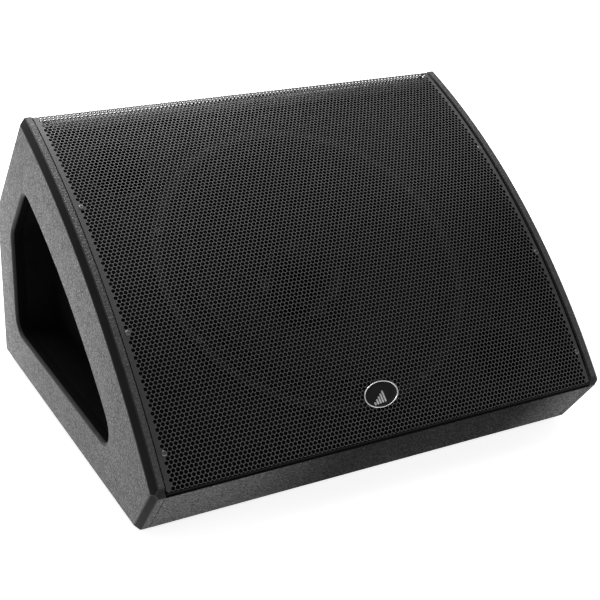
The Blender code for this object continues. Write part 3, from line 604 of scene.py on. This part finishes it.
# ------------------------------------------------------------------ perforated grille
PITCH = 5.0 * MM
ROW = PITCH * math.sqrt(3) / 2
HOLE_R = 2.34 * MM
SHEET_T = 1.0 * MM
GRILLE_X0, GRILLE_X1 = -272.0 * MM, 268.4 * MM
RIDGE_R, NOSE_R = 2.6 * MM, 2.2 * MM
LIP_TOP, LIP_NOSE = 15 * MM, 6 * MM
EA_DOWN = (E - A).normalized()
BC = (C - B).normalized()


def bent(p, q, r_, radius, steps=10):
    """Points of a rounded bend at q between p and r_."""
    a = (p - q).normalized()
    b = (r_ - q).normalized()
    half = a.angle(b) / 2
    t = radius / math.tan(half)
    c = q + (a + b).normalized() * (radius / math.sin(half))
    s, e = q + a * t, q + b * t
    a0 = math.atan2(s.y - c.y, s.x - c.x)
    a1 = math.atan2(e.y - c.y, e.x - c.x)
    da = (a1 - a0 + math.pi) % (2 * math.pi) - math.pi
    pts = [c + Vector((math.cos(a0 + da * i / steps), math.sin(a0 + da * i / steps))) * radius
           for i in range(steps + 1)]
    return pts, t


def grille_path():
    p0, p1 = bow_point(0.004), bow_point(0.996)
    top_end = p0 + EA_DOWN * LIP_TOP
    nose_end = p1 + BC * LIP_NOSE
    bend0, t0 = bent(top_end, p0, bow_point(0.03), RIDGE_R)
    bend1, t1 = bent(bow_point(0.97), p1, nose_end, NOSE_R)
    arc = [bow_point(0.004 + 0.992 * i / 300) for i in range(301)]
    arc = [p for p in arc if (p - p0).length > t0 * 1.05 and (p - p1).length > t1 * 1.05]
    pts = [top_end] + bend0 + arc + bend1 + [nose_end]
    a = np.array([[p.x, p.y] for p in pts])
    s = np.concatenate([[0], np.cumsum(np.linalg.norm(np.diff(a, axis=0), axis=1))])
    mid_ridge = s[1 + len(bend0) // 2]
    i_nose = 1 + len(bend0) + len(arc)
    return a, s, mid_ridge, s[i_nose], s[-1]


g_pts, g_s, g_ridge, g_nose, g_end = grille_path()
tan = np.gradient(g_pts, g_s, axis=0)
tan /= np.linalg.norm(tan, axis=1)[:, None]
g_nrm = np.stack([tan[:, 1], -tan[:, 0]], 1)
away = g_pts - np.array([CENTRE.x, CENTRE.y])
if (g_nrm * away).sum() < 0:
    g_nrm = -g_nrm


def on_sheet(x, s, depth=0.0):
    """World points of the bent sheet: x across, s along the profile, depth inwards."""
    y = np.interp(s, g_s, g_pts[:, 0])
    z = np.interp(s, g_s, g_pts[:, 1])
    ny = np.interp(s, g_s, g_nrm[:, 0])
    nz = np.interp(s, g_s, g_nrm[:, 1])
    ln = np.sqrt(ny ** 2 + nz ** 2)
    y = y - ny / ln * depth
    z = z - nz / ln * depth
    return np.stack([x, y - Y_MID, z + FOOT_H], -1)


def s_of_t(t):
    p = bow_point(t)
    i = np.argmin(((g_pts - np.array([p.x, p.y])) ** 2).sum(1))
    return g_s[i]


SCREW_T = (0.315, 0.645, 0.915)
SCREW_X = 264.6 * MM
screw_sites = [(sx * SCREW_X, s_of_t(t)) for sx in (-1, 1) for t in SCREW_T]


def build_grille():
    ring = np.arange(12) * math.pi / 6
    rad = np.where(np.arange(12) % 2 == 0, PITCH / 2, PITCH / math.sqrt(3))
    cell_dx, cell_ds = rad * np.cos(ring), rad * np.sin(ring)
    hole_dx, hole_ds = HOLE_R * np.cos(ring), HOLE_R * np.sin(ring)
    s_first = g_ridge + 0.4 * MM
    k_lo = int(math.floor((0 - s_first) / ROW)) - 1
    k_hi = int(math.ceil((g_end - s_first) / ROW)) + 1
    front, holes = [], []
    xs, ss, opened = [], [], []
    for kk in range(k_lo, k_hi + 1):
        s_c = s_first + kk * ROW
        odd = kk % 2
        for i in range(-3, 110):
            x_c = (-264.8 + 2.5 * odd + 5.0 * i) * MM
            if x_c < GRILLE_X0 - PITCH or x_c > GRILLE_X1 + PITCH:
                continue
            is_open = 0 <= i <= 105 and s_c > 3.3 * MM and s_c < g_nose + 1.6 * MM
            if is_open:
                for hx, hs in screw_sites:
                    if (x_c - hx) ** 2 + (s_c - hs) ** 2 < (4.1 * MM) ** 2:
                        is_open = False
            xs.append(x_c)
            ss.append(s_c)
            opened.append(is_open)
    xs, ss, opened = np.array(xs), np.array(ss), np.array(opened)
    n = len(xs)
    bx = np.clip(xs[:, None] + cell_dx, GRILLE_X0, GRILLE_X1)
    bs = np.clip(ss[:, None] + cell_ds, 0.0, g_end)
    key = np.round(np.stack([bx, bs], -1).reshape(-1, 2) / (0.02 * MM)).astype(np.int64)
    _, first, inv = np.unique(key, axis=0, return_index=True, return_inverse=True)
    inv = np.asarray(inv).reshape(n, 12)
    ux, us = bx.reshape(-1)[first], bs.reshape(-1)[first]
    nb = len(ux)
    oi = np.where(opened)[0]
    hx = (xs[oi, None] + hole_dx)
    hs = (ss[oi, None] + hole_ds)
    no = len(oi)
    h0 = nb
    h1 = nb + no * 12
    ci = np.where(~opened)[0]
    c0 = nb + no * 24
    cx = np.clip(xs[ci], GRILLE_X0, GRILLE_X1)
    cs = np.clip(ss[ci], 0.0, g_end)
    verts = np.concatenate([
        on_sheet(ux, us), on_sheet(hx.reshape(-1), hs.reshape(-1)),
        on_sheet(hx.reshape(-1), hs.reshape(-1), SHEET_T), on_sheet(cx, cs)])
    uv_x = np.concatenate([ux, hx.reshape(-1), hx.reshape(-1), cx])
    uv_s = np.concatenate([us, hs.reshape(-1), hs.reshape(-1), cs])
    kk = np.arange(12)
    k2 = (kk + 1) % 12
    outer = inv[oi]
    hid = h0 + np.arange(no)[:, None] * 12
    hbd = h1 + np.arange(no)[:, None] * 12
    quads = np.concatenate([
        np.stack([outer[:, kk], outer[:, k2], hid + k2, hid + kk], -1).reshape(-1, 4),
        np.stack([hid + kk, hid + k2, hbd + k2, hbd + kk], -1).reshape(-1, 4)])
    cen = np.repeat((c0 + np.arange(len(ci)))[:, None], 12, 1)
    tris = np.stack([cen, inv[ci][:, kk], inv[ci][:, k2]], -1).reshape(-1, 3)
    good = tris[:, 1] != tris[:, 2]
    tris = tris[good]
    tx, ts = uv_x[tris], uv_s[tris]
    area = np.abs((tx[:, 1] - tx[:, 0]) * (ts[:, 2] - ts[:, 0]) - (tx[:, 2] - tx[:, 0]) * (ts[:, 1] - ts[:, 0]))
    tris = tris[area > 1e-11]
    # rim round the outside of the sheet
    count = {}
    for poly in (quads[:no * 12], tris):
        m_ = poly.shape[1]
        for a_i in range(m_):
            ea, eb = poly[:, a_i], poly[:, (a_i + 1) % m_]
            sel = (ea < nb) & (eb < nb)
            for a_, b_ in zip(ea[sel].tolist(), eb[sel].tolist()):
                count[(a_, b_)] = count.get((a_, b_), 0) + 1
    rim = [e for e in count if (e[1], e[0]) not in count]
    rim_v = sorted({v for e in rim for v in e})
    r0 = len(verts)
    where = {v: r0 + i for i, v in enumerate(rim_v)}
    rv = np.array(rim_v)
    verts = np.concatenate([verts, on_sheet(ux[rv], us[rv], SHEET_T)])
    uv_x = np.concatenate([uv_x, ux[rv]])
    uv_s = np.concatenate([uv_s, us[rv]])
    rim_q = [(b_, a_, where[a_], where[b_]) for a_, b_ in rim]
    faces = quads.tolist() + rim_q + tris.tolist()
    me = bpy.data.meshes.new("grille_sheet")
    me.from_pydata(verts.tolist(), [], faces)
    # painted shade: the punched walls of the holes and the lip under the nose take the near-black copy of the coat
    inner = np.zeros(len(faces), np.int32)
    inner[no * 12:no * 24] = 1
    # painted shade and highlight: the unpunched margin takes a darker copy of the coat, and the webs between the
    # holes a lighter copy standing in for highlights on their burred edges
    inner[no * 24 + len(rim_q):] = 2
    mid_s = np.array([uv_s[list(f)].mean() for f in faces])
    # painted shade: the lip under the nose takes the near-black copy
    inner[mid_s > g_nose + 0.9 * MM] = 1
    me.polygons.foreach_set("material_index", inner)
    uv = me.uv_layers.new(name="OFBake")
    li = np.zeros(len(me.loops), np.int32)
    me.loops.foreach_get("vertex_index", li)
    co = np.stack([(uv_x[li] - GRILLE_X0) / 0.56 + 0.01, uv_s[li] / 0.56 + 0.01], -1)
    uv.data.foreach_set("uv", co.reshape(-1).astype(np.float32))
    # outward faces
    probe = me.polygons[0]
    up = Vector((0, *OUT))
    mid = me.polygons[no * 6]
    if mid.normal.dot(up) < 0:
        me.flip_normals()
    return me


sheet = add("grille_sheet", build_grille(), [grille_coat, hole_painted_shade, margin_painted_shade])
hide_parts("grille")


# ------------------------------------------------------------------ screws
def socket_screw(name, mtx, head_r, head_h, shank_r, shank_len, hex_r, hex_depth, z0, mat, node):
    """Domed head with a hexagonal socket, and its plain shank."""
    bm = bmesh.new()
    steps = 24
    hexa = []
    rings = []

    def ring(r, z):
        vs = [bm.verts.new((r * math.cos(2 * math.pi * i / steps), r * math.sin(2 * math.pi * i / steps), z))
              for i in range(steps)]
        rings.append(vs)
        return vs

    def hexring(r, z):
        vs = []
        for i in range(steps):
            a = 2 * math.pi * i / steps
            f = math.cos(math.pi / 6) / math.cos((a % (math.pi / 3)) - math.pi / 6)
            vs.append(bm.verts.new((r * f * math.cos(a), r * f * math.sin(a), z)))
        rings.append(vs)
        return vs

    hexring(hex_r, z0 + head_h - hex_depth)
    hexring(hex_r, z0 + head_h - 0.02 * MM)
    ring(hex_r * 1.25, z0 + head_h)
    for i in range(1, 6):
        a = math.pi / 2 * i / 5
        ring(hex_r * 1.25 + (head_r - hex_r * 1.25) * math.sin(a), z0 + head_h * (0.35 + 0.65 * math.cos(a)))
    ring(head_r, z0)
    ring(shank_r, z0)
    ring(shank_r, z0 - shank_len)
    for a, b in zip(rings, rings[1:]):
        for i in range(steps):
            j = (i + 1) % steps
            bm.faces.new((a[i], a[j], b[j], b[i]))
    bm.faces.new(rings[0])
    bm.faces.new(list(reversed(rings[-1])))
    bmesh.ops.recalc_face_normals(bm, faces=bm.faces)
    me = bpy.data.meshes.new(name)
    bm.to_mesh(me)
    bm.free()
    me.transform(mtx)
    shade(me, 40)
    ob = add(name, me, mat)
    if node:
        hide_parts(node)
    return ob


for sx, s in ((-1, "left"), (1, "right")):
    for i, t in enumerate(SCREW_T):
        socket_screw(f"grille_fixing_{s}_{i + 1}", on_bow(t, sx * SCREW_X), 3.1 * MM, 1.3 * MM, 1.5 * MM, 13.5 * MM,
                     1.25 * MM, 0.9 * MM, GAP * 0.5, dark_screw, f"grille_screw_{s}_{i + 1}")
for i in range(8):
    a = math.radians(22.5 + 45 * i)
    m = DRIVER @ Matrix.Translation((185.5 * MM * math.cos(a), 185.5 * MM * math.sin(a), 0))
    socket_screw(f"frame_fixing_{i + 1}", m, 4.6 * MM, 2.6 * MM, 1.9 * MM, 16.5 * MM, 2.2 * MM, 1.7 * MM,
                 4.6 * MM, black_steel, f"frame_screw_{i + 1}")

# ------------------------------------------------------------------ badge
BADGE = on_bow(0.903, -7.9 * MM) @ Matrix.Rotation(math.radians(6), 4, "Z")
OVAL = BADGE @ Matrix.Diagonal((21.8 / 20.6, 14.5 / 20.6, 1, 1))
disc_prof = [(0, 2.9 * MM), (12 * MM, 3.0 * MM), (18.0 * MM, 3.2 * MM), (18.5 * MM, 3.0 * MM), (18.55 * MM, 0.35 * MM), (0, 0.35 * MM)]
disc = add("badge_disc_face", turned_mesh("badge_disc_face", disc_prof, 96, OVAL), badge_black)
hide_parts("badge_disc")
ring_prof = [(19.0 * MM, 0.35 * MM), (19.0 * MM, 2.9 * MM), (19.2 * MM, 3.25 * MM), (19.55 * MM, 3.42 * MM),
             (20.1 * MM, 3.42 * MM), (20.45 * MM, 3.2 * MM), (20.6 * MM, 2.8 * MM), (20.6 * MM, 0.35 * MM)]
rim = add("badge_rim", turned_mesh("badge_rim", ring_prof, 128, OVAL), badge_chrome)
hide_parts("badge_ring")


def bar_mark():
    """Plain mark on the badge: five rounded upright bars, each taller than the one before."""
    bm = bmesh.new()
    for i, h in enumerate((3.2, 5.6, 8.0, 10.4, 12.8)):
        cx, cy = (-11.4 + 3.3 * i) * MM, (-9.4 + h / 2) * MM
        w, hh, r = 1.15 * MM, h / 2 * MM, 1.15 * MM
        loop = []
        for corner, a0 in (((w - r, hh - r), 0), ((-w + r, hh - r), 90), ((-w + r, -hh + r), 180), ((w - r, -hh + r), 270)):
            for q in range(7):
                a = math.radians(a0 + 15 * q)
                loop.append((cx + corner[0] + r * math.cos(a), cy + corner[1] + r * math.sin(a)))
        clean = []
        for p in loop:
            if not clean or (Vector(p) - Vector(clean[-1])).length > 1e-6:
                clean.append(p)
        low = [bm.verts.new((x, y, 2.85 * MM)) for x, y in clean]
        mid = [bm.verts.new((x, y, 3.25 * MM)) for x, y in clean]
        top = [bm.verts.new((cx + (x - cx) * 0.82, cy + (y - cy) * 0.93, 3.38 * MM)) for x, y in clean]
        for a_, b_ in ((low, mid), (mid, top)):
            for q in range(len(clean)):
                z = (q + 1) % len(clean)
                bm.faces.new((a_[q], a_[z], b_[z], b_[q]))
        bm.faces.new(top)
        bm.faces.new(list(reversed(low)))
    bmesh.ops.recalc_face_normals(bm, faces=bm.faces)
    me = bpy.data.meshes.new("badge_mark")
    bm.to_mesh(me)
    bm.free()
    me.transform(BADGE)
    shade(me, 35)
    return me


add("badge_mark", bar_mark(), badge_silver)

# ------------------------------------------------------------------ ports
for px, pu, s in ((-187 * MM, 166 * MM, "upper"), (187 * MM, -166 * MM, "lower")):
    prof = [(43.5 * MM, 0.3 * MM), (43.5 * MM, 1.5 * MM), (42.9 * MM, 2.2 * MM), (41.5 * MM, 2.3 * MM), (38.5 * MM, 2.2 * MM)]
    for i in range(1, 9):
        a = math.pi / 2 * i / 8
        prof.append((38.5 * MM - 3.5 * MM * math.sin(a), 2.2 * MM - 8 * MM * (1 - math.cos(a))))
    prof += [(35 * MM, -30 * MM), (35 * MM, -59.6 * MM), (35.5 * MM, -60 * MM), (37.2 * MM, -60 * MM),
             (37.5 * MM, -59.5 * MM), (37.5 * MM, 0.3 * MM)]
    ob = add("port_" + s, turned_mesh("port_" + s, prof, 72, DRIVER @ Matrix.Translation((px, pu, 0))), port_plastic)
    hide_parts("port_tube_" + s)

# ------------------------------------------------------------------ driver
repaint("driver_basket", basket_coat)
SUR_Z = 4.6 * MM


def driver_piece(name, prof, steps, mat, body, node, deg=35.0):
    ob = add(name, turned_mesh(name, prof, steps, DRIVER, deg), mat, body)
    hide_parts(node)
    return ob


def ribbed(r_a, z_a, r_b, z_b, count, height, steps):
    """Line with shallow ring ribs."""
    pts = []
    for i in range(steps + 1):
        t = i / steps
        pts.append((r_a + (r_b - r_a) * t, z_a + (z_b - z_a) * t + height * max(0.0, math.sin(t * math.pi * 2 * count)) ** 2))
    return pts


cone_top = [(154 * MM, 4.28 * MM), (146 * MM, 4.28 * MM)]
cone_face = ribbed(143 * MM, 2.6 * MM, 99 * MM, -25.4 * MM, 3, 0.9 * MM, 30) + ribbed(97 * MM, -26.2 * MM, 51.7 * MM, -44.2 * MM, 2, 0.7 * MM, 22)
cone_back = [(51.7 * MM, -45.9 * MM), (100 * MM, -27 * MM), (146.8 * MM, 2.95 * MM), (154 * MM, 2.95 * MM)]
driver_piece("cone_paper_shell", cone_top + cone_face + cone_back, 96, cone_paper, "cone_assembly", "driver_cone")
horn = []
for i in range(13):
    t = i / 12
    horn.append((19.6 * MM + (43.2 - 19.6) * MM * t ** 2.2, -77.5 * MM + 54.5 * MM * t))
horn += [(43.9 * MM, -22.4 * MM), (44.8 * MM, -22.05 * MM), (45.7 * MM, -22.5 * MM), (46 * MM, -23.6 * MM), (46 * MM, -25 * MM),
         (28 * MM, -62 * MM), (28 * MM, -77.6 * MM), (20 * MM, -77.6 * MM)]
driver_piece("hf_horn_flare", horn, 72, horn_plastic, "cabinet", "hf_horn")
gasket_prof = [(171.5 * MM, 5.95 * MM), (171.6 * MM, 8.4 * MM), (172.3 * MM, 8.85 * MM), (179.2 * MM, 8.85 * MM), (179.9 * MM, 8.3 * MM), (180 * MM, 5.95 * MM)]
driver_piece("gasket_ring", gasket_prof, 96, gasket_card, "cabinet", "driver_gasket")


def banded(name, prof, steps, mat, node):
    """Ring swept from its profile, its placement baked into the mesh; on the real driver this flexible ring is held
    at one radius by the frame and at the other by the cone.
    """
    me = turned_mesh(name, prof, steps, DRIVER, 50.0)
    ob = add(name, me, mat, None)
    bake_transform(ob)
    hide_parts(node)
    return ob


roll_top, roll_under = [], []
for i in range(25):
    t = i / 24
    r = 168 * MM - 16 * MM * t
    h = 6.2 * MM * abs(math.sin(t * 2 * math.pi)) ** 0.8 * (1.0 if t < 0.5 else 1.0)
    roll_top.append((r, SUR_Z + 1.0 * MM + h))
    roll_under.append((r, SUR_Z + 0.1 * MM + h * 0.96))
sur = [(179.4 * MM, SUR_Z + 1.0 * MM), (169.5 * MM, SUR_Z + 1.0 * MM)] + roll_top + [(150.5 * MM, SUR_Z + 1.0 * MM), (147 * MM, SUR_Z + 1.0 * MM), (147 * MM, SUR_Z)]
sur += [(150.5 * MM, SUR_Z)] + list(reversed(roll_under)) + [(169.5 * MM, SUR_Z), (179.4 * MM, SUR_Z)]
banded("surround_rolls", sur, 120, surround_painted_shade, "driver_surround")
sp_top, sp_low = [], []
for i in range(55):
    t = i / 54
    r = 52.3 * MM + 37.6 * MM * t
    z = -60 * MM + (1.7 * MM * math.sin(t * math.pi * 9) if 0.04 < t < 0.96 else 0.0)
    sp_top.append((r, z + 0.35 * MM))
    sp_low.append((r, z - 0.35 * MM))
banded("spider_waves", sp_top + list(reversed(sp_low)), 72, spider_cloth, "driver_spider")

former_prof = [(51.15 * MM, -42.6 * MM), (51.15 * MM, -94.9 * MM), (50.45 * MM, -94.9 * MM), (50.45 * MM, -42.6 * MM)]
driver_piece("coil_former", former_prof, 72, former_film, "cone_assembly", "voice_coil")
winding_prof = [(51.2 * MM, -79.2 * MM), (51.85 * MM, -79.4 * MM), (51.85 * MM, -94.6 * MM), (51.2 * MM, -94.8 * MM)]
add("coil_winding", turned_mesh("coil_winding", winding_prof, 72, DRIVER), coil_copper, "cone_assembly")
repaint("top_plate", hf_paint)
repaint("pole_plate", hf_paint)
repaint("magnet_ring", ferrite)
repaint("hf_driver_body", hf_paint)
repaint("hf_diaphragm", titanium)
repaint("crossover_board", board)
repaint("crossover_capacitor", film)
repaint("crossover_coil_1", choke_copper)
repaint("crossover_coil_2", choke_copper)

# ------------------------------------------------------------------ connector plate and sockets
PLATE_X = INNER - 46 * MM + 5 * MM
plate_y, plate_z = place(Vector((300 * MM, 132 * MM)))
refined("connector_plate", [plate_plastic, plate_plastic], 0.35 * MM, 2)
for dy, s in ((-29 * MM, "input"), (29 * MM, "link")):
    m = Matrix.Translation((PLATE_X, plate_y + dy, plate_z)) @ Matrix.Rotation(math.pi / 2, 4, "Y")
    pf = 2.5 * MM + GAP
    prof = [(0, -1 * MM), (3.6 * MM, -1 * MM), (4.2 * MM, -1.6 * MM), (4.2 * MM, -14.6 * MM), (4.6 * MM, -15 * MM),
            (10.4 * MM, -15 * MM), (10.8 * MM, -14.6 * MM), (10.8 * MM, pf + 1.7 * MM), (11.5 * MM, pf + 2.4 * MM),
            (14.2 * MM, pf + 2.4 * MM), (15 * MM, pf + 1.6 * MM), (15 * MM, pf + GAP), (12.2 * MM, pf + GAP), (12.2 * MM, -20 * MM), (0, -20 * MM)]
    ob = add("socket_" + s, turned_mesh("socket_" + s, prof, 64, m), socket_plastic)
    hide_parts("speaker_socket_" + s)

# ------------------------------------------------------------------ feet
for i, (sx, y) in enumerate(((-1, 46), (1, 46), (-1, 420), (1, 420))):
    m = Matrix.Translation((sx * 236 * MM, y * MM - Y_MID, 0))
    prof = [(0, 5.7 * MM), (15.6 * MM, 5.7 * MM), (16 * MM, 5.3 * MM), (16 * MM, 3.2 * MM), (15.6 * MM, 1.2 * MM), (14.9 * MM, 0.3 * MM),
            (14.0 * MM, 0), (10.5 * MM, 0), (10.0 * MM, 0.5 * MM), (6.2 * MM, 0.5 * MM), (5.8 * MM, 0.9 * MM), (5.8 * MM, 3.2 * MM), (0, 3.2 * MM)]
    ob = add(f"foot_{i + 1}", turned_mesh(f"foot_{i + 1}", prof, 48, m), rubber)
    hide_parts(f"rubber_foot_{i + 1}")


# ------------------------------------------------------------------ damping wadding
def wadding():
    lo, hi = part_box("damping_pad")
    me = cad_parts["damping_pad"].data.copy()
    bm = bmesh.new()
    bm.from_mesh(me)
    bmesh.ops.remove_doubles(bm, verts=bm.verts, dist=2e-6)
    bmesh.ops.dissolve_limit(bm, angle_limit=math.radians(1), verts=bm.verts, edges=bm.edges)
    bmesh.ops.recalc_face_normals(bm, faces=bm.faces)
    bm.to_mesh(me)
    bm.free()
    tmp = bpy.data.objects.new("wadding_tmp", me)
    scene.collection.objects.link(tmp)
    rm = tmp.modifiers.new("remesh", "REMESH")
    rm.mode = "VOXEL"
    rm.voxel_size = 0.005
    out = applied(tmp)
    bpy.data.objects.remove(tmp, do_unlink=True)
    co = np.array([v.co for v in out.vertices])
    no = np.array([v.normal for v in out.vertices])
    c = (co.min(0) + co.max(0)) / 2
    h = (co.max(0) - co.min(0)) / 2
    rel = np.clip(np.abs(co - c) / h, 0, 1)
    edge = np.clip((rel[:, 0] - 0.93) / 0.07, 0, 1) ** 2 + np.clip((rel[:, 2] - 0.88) / 0.12, 0, 1) ** 2
    ripple = (np.sin(co[:, 0] * 61) * np.cos(co[:, 2] * 83) + 0.6 * np.sin(co[:, 0] * 143 + 1.3) * np.sin(co[:, 2] * 171 + 0.4))
    depth = 0.0009 + 0.0009 * (ripple * 0.5 + 0.5) + 0.0022 * np.clip(edge, 0, 1)
    co = co - no * depth[:, None]
    out.vertices.foreach_set("co", co.reshape(-1))
    out.update()
    shade(out, 80)
    return out


pad = add("damping_wadding", wadding(), felt)
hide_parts("damping_pad")


# ------------------------------------------------------------------ stage and light
def floor_mesh():
    me = bpy.data.meshes.new("stage_floor")
    n = 24
    bm = bmesh.new()
    bmesh.ops.create_circle(bm, cap_ends=True, radius=14.0, segments=96)
    bm.to_mesh(me)
    bm.free()
    return me


fm, fnt, fb = nodes_of("stage_white")
fb.inputs["Base Color"].default_value = (0.86, 0.86, 0.86, 1)
fb.inputs["Roughness"].default_value = 0.85
fb.inputs["Specular IOR Level"].default_value = 0.1
fb.inputs["Emission Color"].default_value = (1, 1, 1, 1)
fb.inputs["Emission Strength"].default_value = 0.78
floor = bpy.data.objects.new("stage_floor", floor_mesh())
scene.collection.objects.link(floor)
floor.data.materials.append(fm)

world = bpy.data.worlds.new("studio")
scene.world = world
world.use_nodes = True
wnt = world.node_tree
bg = wnt.nodes["Background"]
wco = wnt.nodes.new("ShaderNodeTexCoord")
sep = wnt.nodes.new("ShaderNodeSeparateXYZ")
wnt.links.new(wco.outputs["Generated"], sep.inputs[0])
ramp = wnt.nodes.new("ShaderNodeValToRGB")
els = ramp.color_ramp.elements
for p, v in ((0.0, 0.97), (0.17, 0.95), (0.31, 0.19), (1.0, 0.19)):
    e = els[0] if p == 0.0 else els[1] if p == 1.0 else els.new(p)
    e.position, e.color = p, (v, v, v, 1)
wnt.links.new(sep.outputs["Z"], ramp.inputs["Fac"])
wnt.links.new(ramp.outputs["Color"], bg.inputs["Color"])
bg.inputs["Strength"].default_value = 1.0


def softbox(name, at, aim, size_x, size_y, radiance):
    d = bpy.data.lights.new(name, "AREA")
    d.shape = "RECTANGLE"
    d.size, d.size_y = size_x, size_y
    d.energy = radiance * math.pi * size_x * size_y
    ob = bpy.data.objects.new(name, d)
    ob.location = at
    ob.rotation_euler = (Vector(aim) - Vector(at)).to_track_quat("-Z", "Y").to_euler()
    scene.collection.objects.link(ob)
    return ob


softbox("softbox_back_top", (0.25, 1.35, 1.75), (0, 0, 0.2), 1.6, 1.0, 4.6)
softbox("softbox_back_left", (-0.6, 0.9, 1.9), (0, 0, 0.2), 1.0, 0.8, 6.6)
softbox("softbox_right", (1.3, 0.4, 1.7), (0, 0, 0.2), 1.2, 1.2, 0.9)
softbox("softbox_left", (-1.1, 1.9, 1.1), (-1.0, 1.8, 0.0), 2.0, 2.0, 1.0)
softbox("softbox_overhead", (0.0, 0.1, 3.2), (0, 0, 0), 2.6, 2.6, 1.2)
